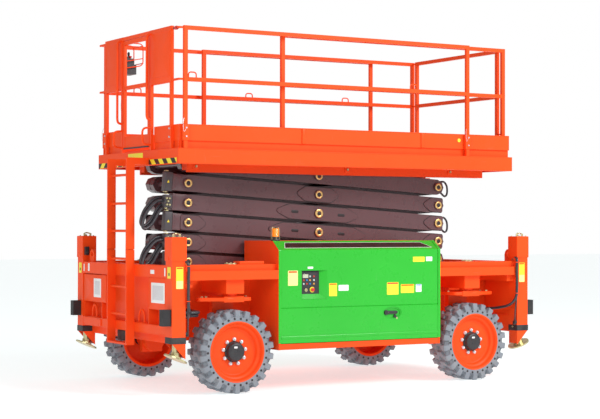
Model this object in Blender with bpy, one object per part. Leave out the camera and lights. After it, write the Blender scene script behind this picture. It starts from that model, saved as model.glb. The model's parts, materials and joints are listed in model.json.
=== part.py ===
"""Rough-terrain scissor lift: steered chassis on outriggers, six-level scissor stack, railed platform.

Metres, +Z up. The origin is on the ground, midway between the axles and the sides. The ladder is at -X.
"near" is the -Y side, "far" the +Y side, "left" the ladder end and "right" the other end.
"""
import math

import bmesh
import bpy
from mathutils import Matrix, Vector

# ---------------------------------------------------------------- driving dimensions
WHEELBASE = 2.905
OVERALL_WIDTH = 2.38
TYRE_DIAMETER = 0.838
TYRE_WIDTH = 0.305
RIM_RADIUS = 0.30
KINGPIN_INSET = 0.17          # king-pin axis, inboard of the overall width

LEG_SIZE = 0.145              # square outrigger leg
LEG_OFFSET = 0.645            # leg centre, outboard of the axle
LEG_BOTTOM = 0.515
HAT_SIZE = 0.16               # cover over the leg's top
HAT_TOP = 1.548
FOOT_ROD_RADIUS = 0.035
FOOT_PAD_RADIUS = 0.12
FOOT_PAD_HEIGHT = 0.372
FOOT_TILT = math.radians(24)
BUMPER_DEPTH = 0.09

TOWING_Y = 0.60               # middle of the towing pads

CABINET_LENGTH = 1.935
CABINET_TOP = 1.51
CABINET_FLOOR = 0.415
DOOR_BOTTOM = 0.48
DOOR_THICKNESS = 0.028
CHAMFER_DROP = 0.09
CHAMFER_INSET = 0.13
WINDOW = (-0.72, -0.42, 0.92, 1.21)        # low X, high X, low Z, high Z
LATCH_RECESS = (0.26, 0.50, 0.69, 0.83)

ARM_DEPTH = 0.17
ARM_THICKNESS = 0.09
INNER_ARM_Y = 0.23            # inside face of the inner arms
ARM_GAP = 0.01                # between an inner arm and the outer arm beside it
LEVELS = 6
LEVEL_PITCH = 0.202           # height of one stowed level
RAISED_TILT = math.radians(60)
PIN_RADIUS = 0.03
LOWEST_PIN_Z = 1.09
LEFT_PIN_OUTSET = 0.178       # fixed pins, outboard of the left axle
RIGHT_PIN_OUTSET = 0.041      # stowed slide pins, outboard of the right axle
ROLLER_RADIUS = 0.064
TRACK_GAP = 0.006             # above and below a roller
CYLINDER_FOOT = 0.45          # cylinder base, in from an inner arm's right pin
CYLINDER_EYE = 0.45           # rod eye, in from an inner arm's left pin
CYLINDER_SLOT = 0.08          # half the width kept clear where a cylinder swings past
LEFT_TUBE = 0.20              # inner frame's left cross tube, in from its left pin
EYE_FRAME_TUBE = 1.15         # the same tube where the frame carries a rod eye
BARREL_RADIUS = 0.07
LIFT_ROD_RADIUS = 0.045

RAIL_WIDTH = 0.12             # chassis side rails and deck tracks
RAIL_CLEARANCE = 0.035        # between a rail and the outer arms

DECK_LEFT_OVERHANG = 0.5575   # deck ends, outboard of the axles
DECK_RIGHT_OVERHANG = 0.6525
DECK_WIDTH = 1.98
FLOOR_PLATE_INSET = 0.15      # entry floor plate, in from the deck's edges
FASCIA_BOTTOM = 2.275
FASCIA_TOP = 2.43
TOE_BOTTOM = 2.507
TOE_TOP = 2.669
SHEET = 0.012
RAIL_TOP = 3.64
MID_RAIL_TOP = 3.13
TUBE = 0.04                   # square guardrail tube
POST_DEPTH = 0.035            # posts that stand outside the toe boards
MAIN_RAIL_SHORT = 0.585       # the fixed side guardrails stop this far from the deck's right end
EXTENSION_LENGTH = 2.872      # roll-out deck's guardrail
EXTENSION_STOP = 0.033        # its end stands this far in from the deck's
EXTENSION_INSET = 0.08        # nested guardrail, inboard of the deck's edge
GATE_LOW_Y = -0.31
GATE_HIGH_Y = 0.36
LADDER_LOW_Y = -0.30
LADDER_HIGH_Y = 0.19
LADDER_DEPTH = 0.09            # stringers, out from the end frame's face
STRINGER = 0.02                # stringer thickness
RUNG_RADIUS = 0.0135
LADDER_SPLIT = 1.42           # height where the ladder parts when the platform lifts

CABLE_RADIUS = 0.008
CABLE_ROUTE = [               # from under the control box down to its socket on the deck
    (-1.87, 0.625, 3.2797), (-1.87, 0.625, 3.24), (-1.875, 0.650, 3.12), (-1.885, 0.662, 3.00),
    (-1.895, 0.635, 2.87), (-1.90, 0.570, 2.75), (-1.90, 0.520, 2.65), (-1.90, 0.500, 2.56),
    (-1.90, 0.500, 2.5003),
]
CABLE_STEP = 0.04

SEAT = 0.0003                 # gap between pieces that touch
SLIDE = 0.0006                # gap under a sliding shoe
PLAY = 0.006                  # running clearance
ROUND = 12                    # sides of a small round piece
WHEEL_SIDES = 24
BITE = 0.004                  # how far fused pieces sink into each other

# ---------------------------------------------------------------- places worked out from them
AXLE_X = WHEELBASE / 2
SIDE_Y = OVERALL_WIDTH / 2
WHEEL_Y = SIDE_Y - TYRE_WIDTH / 2
KINGPIN_Y = SIDE_Y - KINGPIN_INSET
TYRE_RADIUS = TYRE_DIAMETER / 2
HUB_Z = TYRE_RADIUS * math.cos(math.pi / WHEEL_SIDES)
LEG_X = AXLE_X + LEG_OFFSET
LEG_Y = SIDE_Y - HAT_SIZE / 2
LEG_IN_X = LEG_X - LEG_SIZE / 2
LEG_OUT_X = LEG_X + LEG_SIZE / 2

OUTER_ARM_Y = INNER_ARM_Y + ARM_THICKNESS + ARM_GAP
OUTER_FACE_Y = OUTER_ARM_Y + ARM_THICKNESS
RAIL_Y = OUTER_FACE_Y + RAIL_CLEARANCE
RAIL_OUT_Y = RAIL_Y + RAIL_WIDTH
LEFT_PIN_X = -(AXLE_X + LEFT_PIN_OUTSET)
RIGHT_PIN_X = AXLE_X + RIGHT_PIN_OUTSET
STOWED_TILT = math.atan(LEVEL_PITCH / (RIGHT_PIN_X - LEFT_PIN_X))
ARM_LENGTH = (RIGHT_PIN_X - LEFT_PIN_X) / math.cos(STOWED_TILT)
RISE = LEVEL_PITCH
TOP_PIN_Z = LOWEST_PIN_Z + LEVELS * RISE
TRACK_LEFT = LEFT_PIN_X + ARM_LENGTH * math.cos(RAISED_TILT) - 2 * ROLLER_RADIUS
CABINET_X = CABINET_LENGTH / 2
DECK_LEFT = -(AXLE_X + DECK_LEFT_OVERHANG)
DECK_RIGHT = AXLE_X + DECK_RIGHT_OVERHANG
MAIN_RAIL_RIGHT = DECK_RIGHT - MAIN_RAIL_SHORT
EXTENSION_LEFT = DECK_RIGHT - EXTENSION_STOP - EXTENSION_LENGTH
EDGE_Y = DECK_WIDTH / 2

NEAR, FAR = -1, 1
LEFT, RIGHT = -1, 1
SIDES = {"near": NEAR, "far": FAR}
ENDS = {"left": LEFT, "right": RIGHT}


# ---------------------------------------------------------------- shapes
def clear_scene():
    """Remove every object of the start-up scene."""
    for item in list(bpy.data.objects):
        bpy.data.objects.remove(item, do_unlink=True)


def keep(bm):
    """Close a bmesh off as a loose object, with its faces turned outwards."""
    bmesh.ops.recalc_face_normals(bm, faces=bm.faces)
    mesh = bpy.data.meshes.new("piece")
    bm.to_mesh(mesh)
    bm.free()
    item = bpy.data.objects.new("piece", mesh)
    bpy.context.scene.collection.objects.link(item)
    return item


def box(x, y, z):
    """A block between three pairs of planes, given in either order."""
    bm = bmesh.new()
    bmesh.ops.create_cube(bm, size=1)
    size = [abs(high - low) for low, high in (x, y, z)]
    middle = [(high + low) / 2 for low, high in (x, y, z)]
    bmesh.ops.scale(bm, vec=size, verts=bm.verts)
    bmesh.ops.translate(bm, vec=middle, verts=bm.verts)
    return keep(bm)


def prism(outline, axis, low, high):
    """Carry a closed outline along an axis; its points are the other two coordinates in order."""
    place = {"X": lambda a, b: (low, a, b), "Y": lambda a, b: (a, low, b), "Z": lambda a, b: (a, b, low)}[axis]
    step = {"X": (high - low, 0, 0), "Y": (0, high - low, 0), "Z": (0, 0, high - low)}[axis]
    bm = bmesh.new()
    face = bm.faces.new([bm.verts.new(place(a, b)) for a, b in outline])
    carried = bmesh.ops.extrude_face_region(bm, geom=[face], use_keep_orig=True)["geom"]
    bmesh.ops.translate(bm, vec=step, verts=[g for g in carried if isinstance(g, bmesh.types.BMVert)])
    return keep(bm)


def rod(axis, centre, radius, low, high, sides=ROUND):
    """A round bar along an axis, with a flat at its lowest side; centre holds the other two coordinates."""
    reach = radius
    half = math.pi / sides
    ring = [(centre[0] + reach * math.cos(half + 2 * half * i), centre[1] + reach * math.sin(half + 2 * half * i))
            for i in range(sides)]
    return prism(ring, axis, low, high)


def around(radius, sides=ROUND):
    """The radius of a bore that a bar of this radius turns in, with a seat's gap at its flats."""
    return (radius + SEAT) / math.cos(math.pi / sides)


def sleeve(radius):
    """The radius of a bore that a bar of this radius only slides in."""
    return radius + SLIDE


def turned(profile, centre, side):
    """Turn a closed profile of (radius, outward distance) points about the Y line through centre."""
    bm = bmesh.new()
    half = math.pi / WHEEL_SIDES
    start = Matrix.Rotation(half, 4, "Y")
    points = [bm.verts.new(start @ Vector((radius, side * out, 0))) for radius, out in profile]
    edges = [bm.edges.new((points[i - 1], points[i])) for i in range(len(points))]
    bmesh.ops.spin(bm, geom=points + edges, cent=(0, 0, 0), axis=(0, 1, 0), angle=2 * math.pi,
                   steps=WHEEL_SIDES, use_merge=True)
    bmesh.ops.remove_doubles(bm, verts=bm.verts, dist=1e-6)
    bmesh.ops.dissolve_degenerate(bm, edges=bm.edges, dist=1e-6)
    bmesh.ops.translate(bm, vec=centre, verts=bm.verts)
    return keep(bm)


def turn(item, matrix):
    """Move a loose piece's mesh by a matrix."""
    item.data.transform(matrix)
    return item


def tube_frame(plane, at, across, lines, rise, posts):
    """Square rails and posts of one railing panel.

    plane is the axis the panel faces; at is its pair of planes; lines are the rails' low and high ends
    along across; rise holds each rail's top; posts holds (middle, bottom, top) for each post.
    """
    low, high = lines
    pieces = []
    for top in rise:
        spans = {plane: at, across: (low, high), "Z": (top - TUBE, top)}
        pieces.append(box(spans["X"], spans["Y"], spans["Z"]))
    for middle, bottom, top in posts:
        inside = (at[0] + 0.0005, at[1] - 0.0005) if at[0] < at[1] else (at[0] - 0.0005, at[1] + 0.0005)
        spans = {plane: inside, across: (middle - TUBE / 2, middle + TUBE / 2), "Z": (bottom, top - BITE / 2)}
        pieces.append(box(spans["X"], spans["Y"], spans["Z"]))
    return pieces


# ---------------------------------------------------------------- materials and finished nodes
def paint(name, colour, roughness=0.4, metallic=0.0):
    """A plain finish."""
    material = bpy.data.materials.new(name)
    material.use_nodes = True
    shader = material.node_tree.nodes["Principled BSDF"]
    shader.inputs["Base Color"].default_value = (*colour, 1)
    shader.inputs["Roughness"].default_value = roughness
    shader.inputs["Metallic"].default_value = metallic
    return material


def gather(label, items):
    """A hidden collection that a Boolean reads."""
    group = bpy.data.collections.new(label)
    for item in items:
        group.objects.link(item)
    return group


def fuse(name, finish, pieces, cuts=(), pivot=(0, 0, 0), parent=None):
    """Weld pieces into one body, cut it, and set it as a named node with its origin on pivot."""
    body, rest = pieces[0], pieces[1:]
    groups = []
    for operation, items in (("UNION", rest), ("DIFFERENCE", cuts)):
        if items:
            group = gather(name + operation, items)
            groups.append(group)
            change = body.modifiers.new(operation, "BOOLEAN")
            change.operation = operation
            change.operand_type = "COLLECTION"
            change.collection = group
            change.solver = "EXACT"
    view = bpy.context.evaluated_depsgraph_get()
    view.update()
    mesh = bpy.data.meshes.new_from_object(body.evaluated_get(view))
    for item in list(pieces) + list(cuts):
        bpy.data.objects.remove(item, do_unlink=True)
    for group in groups:
        bpy.data.collections.remove(group)
    mesh.transform(Matrix.Translation(-Vector(pivot)))
    mesh.name = name
    mesh.materials.clear()
    mesh.materials.append(finish)
    node = bpy.data.objects.new(name, mesh)
    bpy.context.scene.collection.objects.link(node)
    node.location = pivot
    if parent is not None:
        node.parent = parent
        node.matrix_parent_inverse = Matrix.Translation(-Vector(parent.location))
    return node


# ---------------------------------------------------------------- chassis
def rail_pieces(side):
    """One chassis side rail: a deep box with an inward-facing roller channel on top, and the fixed pin's block."""
    inner, outer = side * RAIL_Y, side * RAIL_OUT_Y
    floor_z = LOWEST_PIN_Z - ROLLER_RADIUS - TRACK_GAP
    roof_z = LOWEST_PIN_Z + ROLLER_RADIUS + TRACK_GAP
    end = LEG_IN_X - PLAY
    flange = 0.03
    return [
        box((-end, end), (inner, outer), (0.50, floor_z)),
        box((-end, end), (outer - side * flange, outer), (floor_z - BITE, roof_z + flange - 0.001)),
        box((TRACK_LEFT, end), (inner, outer - side * 0.001), (roof_z, roof_z + flange)),
        box((LEFT_PIN_X - 0.08, LEFT_PIN_X + 0.08), (inner, outer - side * BITE), (floor_z - BITE, roof_z)),
    ]


def wing_pieces(end, side):
    """The structure over one wheel: side beam from cabinet to leg, cross arms and the king-pin tube."""
    start, stop = end * (CABINET_X + 0.018 + SEAT), end * (LEG_IN_X - SEAT)
    x, y = end * AXLE_X, side * KINGPIN_Y
    reach = (side * (RAIL_OUT_Y - BITE), side * (SIDE_Y - 0.06))
    return [
        box((start, stop), (side * (SIDE_Y - 0.10), side * (SIDE_Y - 0.003)), (1.13, 1.22)),
        box((start, stop), (side * (SIDE_Y - 0.15), side * (SIDE_Y - 0.05)), (1.215, 1.28)),
        box((x - 0.10, x + 0.10), reach, (0.99, 1.135)),
        box((stop - end * 0.10, stop), reach, (1.06, 1.21)),
        rod("Z", (x, y), 0.074, 0.97, 1.14),
    ]


def build_chassis(finish):
    """The welded main frame."""
    pieces = []
    for side in (NEAR, FAR):
        pieces += rail_pieces(side)
        for end in (LEFT, RIGHT):
            pieces += wing_pieces(end, side)
    for x in (-LEG_IN_X + 0.12, -CABINET_X, 0, CABINET_X, LEG_IN_X - 0.12):
        pieces.append(box((x - 0.06, x + 0.06), (-RAIL_Y - BITE, RAIL_Y + BITE), (0.55, 0.78)))
    for end in (LEFT, RIGHT):
        pieces += end_frame_pieces(end)
    pieces.append(rod("Y", (LEFT_PIN_X, LOWEST_PIN_Z), PIN_RADIUS, -RAIL_Y - BITE, RAIL_Y + BITE))
    return fuse("chassis_frame", finish, pieces)


def end_frame_pieces(end):
    """The cross beams between one pair of legs, with a set-back plate and its webs."""
    reach = LEG_Y - LEG_SIZE / 2 - SEAT
    inner, outer = end * (LEG_IN_X - PLAY - BITE), end * (LEG_OUT_X - 0.003)
    pieces = [
        box((inner, outer), (-reach, reach), (1.15, 1.27)),
        box((inner + end * 0.02, outer), (-reach, reach), (0.59, 0.68)),
        box((inner + end * 0.03, inner + end * 0.045), (-reach + 0.002, reach - 0.002), (0.50, 1.16)),
    ]
    for y in (-reach + 0.014, -0.62, 0.55, reach - 0.014):
        pieces.append(box((inner + end * 0.031, outer - end * 0.01), (y - 0.006, y + 0.006), (0.67, 1.16)))
    pieces.append(box((outer - end * BITE, outer + end * 0.010), (TOWING_Y - 0.06, TOWING_Y + 0.06), (0.60, 0.67)))
    for side in (NEAR, FAR):
        pieces.append(box((inner - end * 0.05, inner + end * 0.036),
                          (side * (RAIL_Y + 0.01), side * (RAIL_OUT_Y - 0.01)), (0.62, 1.16)))
    return pieces


def build_leg(label, end, side, finish):
    """A square outrigger leg with its hat, a guard cut on the slant, and the bore for its foot's rod."""
    x, y, half = end * LEG_X, side * LEG_Y, LEG_SIZE / 2
    inboard, outboard = x - end * half, x + end * half
    tip = FOOT_PAD_HEIGHT - 0.007
    slant = [(inboard, LEG_BOTTOM + BITE), (outboard, LEG_BOTTOM + BITE), (inboard, tip)]
    pieces = [
        box((x - half, x + half), (y - half, y + half), (LEG_BOTTOM, 1.40)),
        box((x - HAT_SIZE / 2, x + HAT_SIZE / 2), (y - HAT_SIZE / 2, y + HAT_SIZE / 2), (1.32, HAT_TOP)),
        prism(slant, "Y", y - half, y - half + 0.006),
        prism(slant, "Y", y + half - 0.006, y + half),
        box((inboard, inboard + end * 0.008), (y - half + 0.001, y + half - 0.001), (tip + 0.012, LEG_BOTTOM + BITE)),
    ]
    bore = rod("Z", (x, y), sleeve(FOOT_ROD_RADIUS), LEG_BOTTOM - 0.05, 1.15)
    return fuse("outrigger_leg_" + label, finish, pieces, [bore])


def build_foot(label, end, side, finish):
    """The rod, ball and dished pad that slide down out of a leg; stowed, the pad leans on the guard."""
    x, y = end * LEG_X, side * LEG_Y
    lean = Matrix.Translation((x, y, FOOT_PAD_HEIGHT)) @ Matrix.Rotation(-end * FOOT_TILT, 4, "Y")
    pieces = [
        rod("Z", (x, y), FOOT_ROD_RADIUS, FOOT_PAD_HEIGHT + 0.02, 1.05),
        rod("Z", (x, y), 0.045, FOOT_PAD_HEIGHT + 0.012, FOOT_PAD_HEIGHT + 0.06),
        turn(rod("Z", (0, 0), 0.055, -0.004, 0.022), lean),
        turn(rod("Z", (0, 0), FOOT_PAD_RADIUS, -0.010, 0.004, 20), lean),
    ]
    return fuse("outrigger_foot_" + label, finish, pieces, pivot=(x, y, FOOT_PAD_HEIGHT))


def build_bumper(label, end, side, finish):
    """A rubber block bolted to a leg's outboard face."""
    start = end * (LEG_OUT_X + SEAT)
    y = side * (LEG_Y + 0.016)
    pieces = [box((start, start + end * BUMPER_DEPTH), (y - 0.04, y + 0.04), (0.69, 0.85))]
    return fuse("leg_bumper_" + label, finish, pieces)


def build_lower_ladder(finish):
    """The chassis half of the access ladder, on the left end frame's face."""
    outer = -(LEG_OUT_X - 0.003 + SEAT)
    pieces = ladder_pieces(outer, 0.455, LADDER_SPLIT - PLAY / 2, (0.76, 1.04, 1.325))
    span = (LADDER_LOW_Y + 0.002, LADDER_HIGH_Y - 0.002)
    pieces.append(box((outer - LADDER_DEPTH + 0.001, outer - 0.001), span, (0.456, 0.475)))
    return fuse("ladder_lower", finish, pieces)


def ladder_pieces(face, bottom, top, rungs):
    """Two channel stringers and round rungs, hung outboard of a face."""
    pieces = []
    for y in (LADDER_LOW_Y, LADDER_HIGH_Y - STRINGER):
        pieces.append(box((face - LADDER_DEPTH, face), (y, y + STRINGER), (bottom, top)))
    for z in rungs:
        ends = (LADDER_LOW_Y + STRINGER / 2, LADDER_HIGH_Y - STRINGER / 2)
        pieces.append(rod("Y", (face - LADDER_DEPTH / 2, z), RUNG_RADIUS, *ends, 10))
    return pieces


# ---------------------------------------------------------------- cabinets
def door_outline(side):
    """Cross-section of a gull-wing door: upright face, sloping shoulder, hinge edge at the top."""
    face, inner = SIDE_Y - 0.003, SIDE_Y - 0.003 - DOOR_THICKNESS
    hinge_y = SIDE_Y - CHAMFER_INSET
    knee = CABINET_TOP - CHAMFER_DROP
    groove = DOOR_BOTTOM + 0.355
    half_out = [
        (hinge_y, CABINET_TOP), (face - 0.003, knee), (face - 0.003, groove + 0.005), (face - 0.008, groove),
        (face, groove - 0.005), (face, DOOR_BOTTOM),
    ]
    half_in = [(inner, DOOR_BOTTOM), (inner, knee - 0.012), (hinge_y, CABINET_TOP - DOOR_THICKNESS)]
    return [(side * y, z) for y, z in half_out + half_in]


def hinge_line(side):
    """Where a door turns: the outer corner of the cabinet's roof."""
    return (0, side * (SIDE_Y - CHAMFER_INSET), CABINET_TOP)


def build_door(label, side, finish, window):
    """A door panel, with a window for the control panel on the near side and a latch recess."""
    low, high = -CABINET_X + PLAY, CABINET_X - PLAY
    pieces = [prism(door_outline(side), "X", low, high)]
    face = side * SIDE_Y
    x0, x1, z0, z1 = LATCH_RECESS
    cuts = [box((x0, x1), (face - side * 0.018, face + side * 0.05), (z0, z1))]
    if window:
        x0, x1, z0, z1 = WINDOW
        cuts.append(box((x0, x1), (face - side * 0.10, face + side * 0.05), (z0, z1)))
    return fuse("cabinet_door_" + label, finish, pieces, cuts, pivot=hinge_line(side))


def build_cabinet(label, side, finish):
    """The fixed shell behind a door: bulkheads, floor, roof, inner wall, sill and control post."""
    roof_y = SIDE_Y - CHAMFER_INSET - SEAT
    rail_y, rail_top = RAIL_OUT_Y + SEAT, LOWEST_PIN_Z + ROLLER_RADIUS + TRACK_GAP + 0.03 + SEAT
    edge = SIDE_Y - 0.003
    bulkhead = [
        (rail_y, CABINET_FLOOR), (edge, CABINET_FLOOR), (edge, CABINET_TOP - CHAMFER_DROP),
        (roof_y, CABINET_TOP), (RAIL_Y, CABINET_TOP), (RAIL_Y, rail_top), (rail_y, rail_top),
    ]
    bulkhead = [(side * y, z) for y, z in bulkhead]
    inside = CABINET_X - 0.001
    pieces = [prism(bulkhead, "X", end * CABINET_X, end * (CABINET_X + 0.018)) for end in (LEFT, RIGHT)]
    walls = [
        ((rail_y + 0.001, edge - 0.002), (CABINET_FLOOR + 0.001, CABINET_FLOOR + 0.025)),
        ((edge - 0.04, edge - 0.002), (CABINET_FLOOR + 0.002, DOOR_BOTTOM - PLAY)),
        ((RAIL_Y + 0.001, roof_y), (CABINET_TOP - 0.013, CABINET_TOP - 0.0005)),
        ((RAIL_Y + 0.002, RAIL_Y + 0.014), (rail_top + 0.001, CABINET_TOP - 0.002)),
        ((rail_y + 0.002, rail_y + 0.012), (CABINET_FLOOR + 0.003, rail_top - 0.004)),
    ]
    shelf = ((RAIL_Y + 0.003, rail_y + 0.011), (rail_top + 0.002, rail_top + 0.012))
    joint = ((rail_y + 0.0025, rail_y + 0.011), (rail_top - 0.01, rail_top + 0.011))
    for y, z in walls + [shelf, joint]:
        pieces.append(box((-inside - 0.003, inside + 0.003), (side * y[0], side * y[1]), z))
    middle = (WINDOW[0] + WINDOW[1]) / 2
    post_y = SIDE_Y - 0.15
    pieces.append(box((middle - 0.05, middle + 0.05), (side * (post_y - 0.03), side * post_y),
                      (CABINET_FLOOR + 0.02, CABINET_TOP - 0.005)))
    return fuse("cabinet_" + label, finish, pieces)


def build_control_panel(finish):
    """The ground control box on the near cabinet's post, behind the door's window."""
    x0, x1, z0, z1 = WINDOW
    back, front = -(SIDE_Y - 0.15 + SEAT), -(SIDE_Y - 0.003 - DOOR_THICKNESS - PLAY)
    pieces = [box((x0 - 0.02, x1 + 0.02), (back, front), (z0 - 0.02, z1 + 0.02))]
    return fuse("ground_control_panel", finish, pieces)


def build_battery(finish):
    """The heavy mass: a battery pack on the near cabinet's floor."""
    floor_z = CABINET_FLOOR + 0.025 + SEAT
    low, high = RAIL_OUT_Y + 0.03, SIDE_Y - 0.20
    return fuse("battery_pack", finish, [box((-CABINET_X + 0.04, 0.30), (-low, -high), (floor_z, 1.02))])


def build_beacon(finish):
    """A beacon on the near cabinet's roof, by the left bulkhead."""
    x, y = -CABINET_X + 0.042, -(SIDE_Y - CHAMFER_INSET - 0.055)
    base = CABINET_TOP + SEAT
    pieces = [
        rod("Z", (x, y), 0.046, base, base + 0.035),
        rod("Z", (x, y), 0.040, base + 0.03, base + 0.125),
        rod("Z", (x, y), 0.030, base + 0.12, base + 0.145),
    ]
    return fuse("beacon", finish, pieces)


# ---------------------------------------------------------------- running gear
def build_knuckle(label, end, side, finish):
    """A steering knuckle: thrust boss under the king-pin tube, upright, hub motor, spindle, steering arm."""
    x, y = end * AXLE_X, side * KINGPIN_Y
    inner, outer = SIDE_Y - TYRE_WIDTH - 0.085, SIDE_Y - TYRE_WIDTH - 0.025
    seat_y = WHEEL_Y - 0.02 - SEAT
    pieces = [
        rod("Z", (x, y), 0.06, 0.95, 0.97 - SEAT),
        box((x - 0.11, x + 0.11), (side * (inner + 0.001), side * (KINGPIN_Y + 0.09)), (0.905, 0.96)),
        box((x - 0.12, x + 0.12), (side * inner, side * outer), (HUB_Z - 0.13, 0.958)),
        rod("Y", (x, HUB_Z), 0.12, side * (inner - 0.07), side * (inner + BITE)),
        rod("Y", (x, HUB_Z), 0.09, side * (outer - BITE), side * seat_y),
        box((x, x + end * 0.24), (side * (inner + 0.005), side * (outer - 0.002)), (0.91, 0.945)),
    ]
    return fuse("knuckle_" + label, finish, pieces, pivot=(x, y, HUB_Z))


def build_wheel(label, end, side, steel, rubber):
    """A dished rim with its hub cap, and the solid tyre pressed on it."""
    centre = (end * AXLE_X, side * WHEEL_Y, HUB_Z)
    lip, half = RIM_RADIUS - SEAT, TYRE_WIDTH / 2
    rim = [
        (0, -0.02), (0.26, -0.02), (0.275, -half + 0.035), (lip, -half + 0.035), (lip, half - 0.03),
        (lip - 0.012, half - 0.03), (lip - 0.030, half - 0.085), (lip - 0.085, half - 0.12), (0.125, half - 0.125),
        (0.115, half - 0.09), (0.088, half - 0.09), (0.085, half - 0.02), (0, half - 0.02),
    ]
    tyre = [
        (RIM_RADIUS, -half + 0.03), (RIM_RADIUS + 0.03, -half + 0.008), (TYRE_RADIUS - 0.04, -half),
        (TYRE_RADIUS - 0.008, -half + 0.02), (TYRE_RADIUS, -half + 0.05), (TYRE_RADIUS, half - 0.05),
        (TYRE_RADIUS - 0.008, half - 0.02), (TYRE_RADIUS - 0.04, half), (RIM_RADIUS + 0.03, half - 0.008),
        (RIM_RADIUS, half - 0.03),
    ]
    fuse("rim_" + label, steel, [turned(rim, centre, side)], pivot=centre)
    fuse("tyre_" + label, rubber, [turned(tyre, centre, side)], pivot=centre)


# ---------------------------------------------------------------- scissor stack
def along_arm(x, z, tilt):
    """Place a piece drawn along +X from an arm's left pin onto the tilted arm."""
    return Matrix.Translation((x, 0, z)) @ Matrix.Rotation(-tilt, 4, "Y")


def arm_outline(length):
    """A bar with round ends about its end pins."""
    radius, steps = ARM_DEPTH / 2, 4
    right = [(length + radius * math.cos(a), radius * math.sin(a))
             for a in (-math.pi / 2 + math.pi * i / steps for i in range(steps + 1))]
    left = [(radius * math.cos(a), radius * math.sin(a))
            for a in (math.pi / 2 + math.pi * i / steps for i in range(steps + 1))]
    return right + left


def pin_stations():
    """Left, centre and right pins, measured along an arm."""
    return 0, ARM_LENGTH / 2, ARM_LENGTH


def roller_shaft(station):
    """A shaft that reaches into the tracks, with a roller at each end, drawn along an arm."""
    track_in, track_out = RAIL_Y + 0.012, RAIL_Y + RAIL_WIDTH - 0.045
    pieces = [rod("Y", (station, 0), PIN_RADIUS, -track_out + BITE, track_out - BITE)]
    for side in (NEAR, FAR):
        pieces.append(rod("Y", (station, 0), ROLLER_RADIUS, side * track_in, side * track_out))
    return pieces


def build_inner(level, finish, parent):
    """An inner frame, rising to the right: two arms, two cross tubes and the bores for its pins."""
    pivot = (LEFT_PIN_X, 0, LOWEST_PIN_Z + (level - 1) * RISE)
    place = along_arm(pivot[0], pivot[2], STOWED_TILT)
    inner, outer = INNER_ARM_Y, INNER_ARM_Y + ARM_THICKNESS
    pieces = [prism(arm_outline(ARM_LENGTH), "Y", side * inner, side * outer) for side in (NEAR, FAR)]
    for station in (EYE_FRAME_TUBE if level % 3 == 0 else LEFT_TUBE, ARM_LENGTH - CYLINDER_FOOT):
        pieces.append(rod("Y", (station, 0), 0.04, -inner - BITE, inner + BITE))
    if level % 3 == 0:
        for side in (NEAR, FAR):
            pieces.append(rod("Y", (CYLINDER_EYE, 0), 0.03, side * CYLINDER_SLOT, side * (inner + BITE)))
    bored = pin_stations() if level < LEVELS else pin_stations()[:2]
    cuts = [rod("Y", (station, 0), around(PIN_RADIUS), -outer - 0.02, outer + 0.02) for station in bored]
    if level == LEVELS:
        pieces += roller_shaft(ARM_LENGTH)
    if level % 3 == 0 or level == LEVELS:
        cuts = split_bores(cuts, bored, inner, outer)
    pieces = [turn(piece, place) for piece in pieces]
    cuts = [turn(cut, place) for cut in cuts]
    return fuse(f"scissor_inner_{level}", finish, pieces, cuts, pivot=pivot, parent=parent)


def split_bores(cuts, bored, inner, outer):
    """Bore each arm by itself, where a through bore would also cut what lies between the arms."""
    for cut in cuts:
        bpy.data.objects.remove(cut, do_unlink=True)
    return [rod("Y", (station, 0), around(PIN_RADIUS), side * (inner - 0.02), side * (outer + 0.02))
            for station in bored for side in (NEAR, FAR)]


def build_outer(level, finish, parent):
    """An outer frame, falling to the right: two arms, end shafts, centre pins, washers and outside bosses."""
    pivot = (LEFT_PIN_X, 0, LOWEST_PIN_Z + level * RISE)
    place = along_arm(pivot[0], pivot[2], -STOWED_TILT)
    inner, outer = OUTER_ARM_Y, OUTER_FACE_Y
    reach = OUTER_FACE_Y - BITE
    pieces = [prism(arm_outline(ARM_LENGTH), "Y", side * inner, side * outer) for side in (NEAR, FAR)]
    left, middle, right = pin_stations()
    if level % 3 == 2:
        pieces += [rod("Y", (left, 0), PIN_RADIUS, side * CYLINDER_SLOT, side * reach) for side in (NEAR, FAR)]
    else:
        pieces.append(rod("Y", (left, 0), PIN_RADIUS, -reach, reach))
    if level == 1:
        pieces += roller_shaft(right)
    else:
        pieces.append(rod("Y", (right, 0), PIN_RADIUS, -reach, reach))
    for side in (NEAR, FAR):
        pieces.append(rod("Y", (middle, 0), PIN_RADIUS, side * (INNER_ARM_Y - 0.005), side * (inner + BITE)))
        for station in pin_stations():
            pieces.append(rod("Y", (station, 0), 0.06, side * (inner - ARM_GAP + SEAT), side * (inner + BITE), 8))
            pieces.append(rod("Y", (station, 0), 0.05, side * (outer - BITE), side * (outer + 0.022)))
        if level == LEVELS:
            pieces.append(rod("Y", (left, 0), PIN_RADIUS, side * (outer - BITE), side * (RAIL_Y + 0.05)))
    pieces = [turn(piece, place) for piece in pieces]
    centre = (LEFT_PIN_X + ARM_LENGTH / 2 * math.cos(STOWED_TILT), 0, LOWEST_PIN_Z + (level - 0.5) * RISE)
    return fuse(f"scissor_outer_{level}", finish, pieces, pivot=centre, parent=parent)


def cylinder_ends(level):
    """The base pin on one inner frame and the rod eye two frames higher, as X and Z pairs."""
    base_s = ARM_LENGTH - CYLINDER_FOOT
    low_z = LOWEST_PIN_Z + (level - 1) * RISE
    cos, sin = math.cos(STOWED_TILT), math.sin(STOWED_TILT)
    base = (LEFT_PIN_X + base_s * cos, low_z + base_s * sin)
    eye = (LEFT_PIN_X + CYLINDER_EYE * cos, low_z + 2 * RISE + CYLINDER_EYE * sin)
    return base, eye


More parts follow.
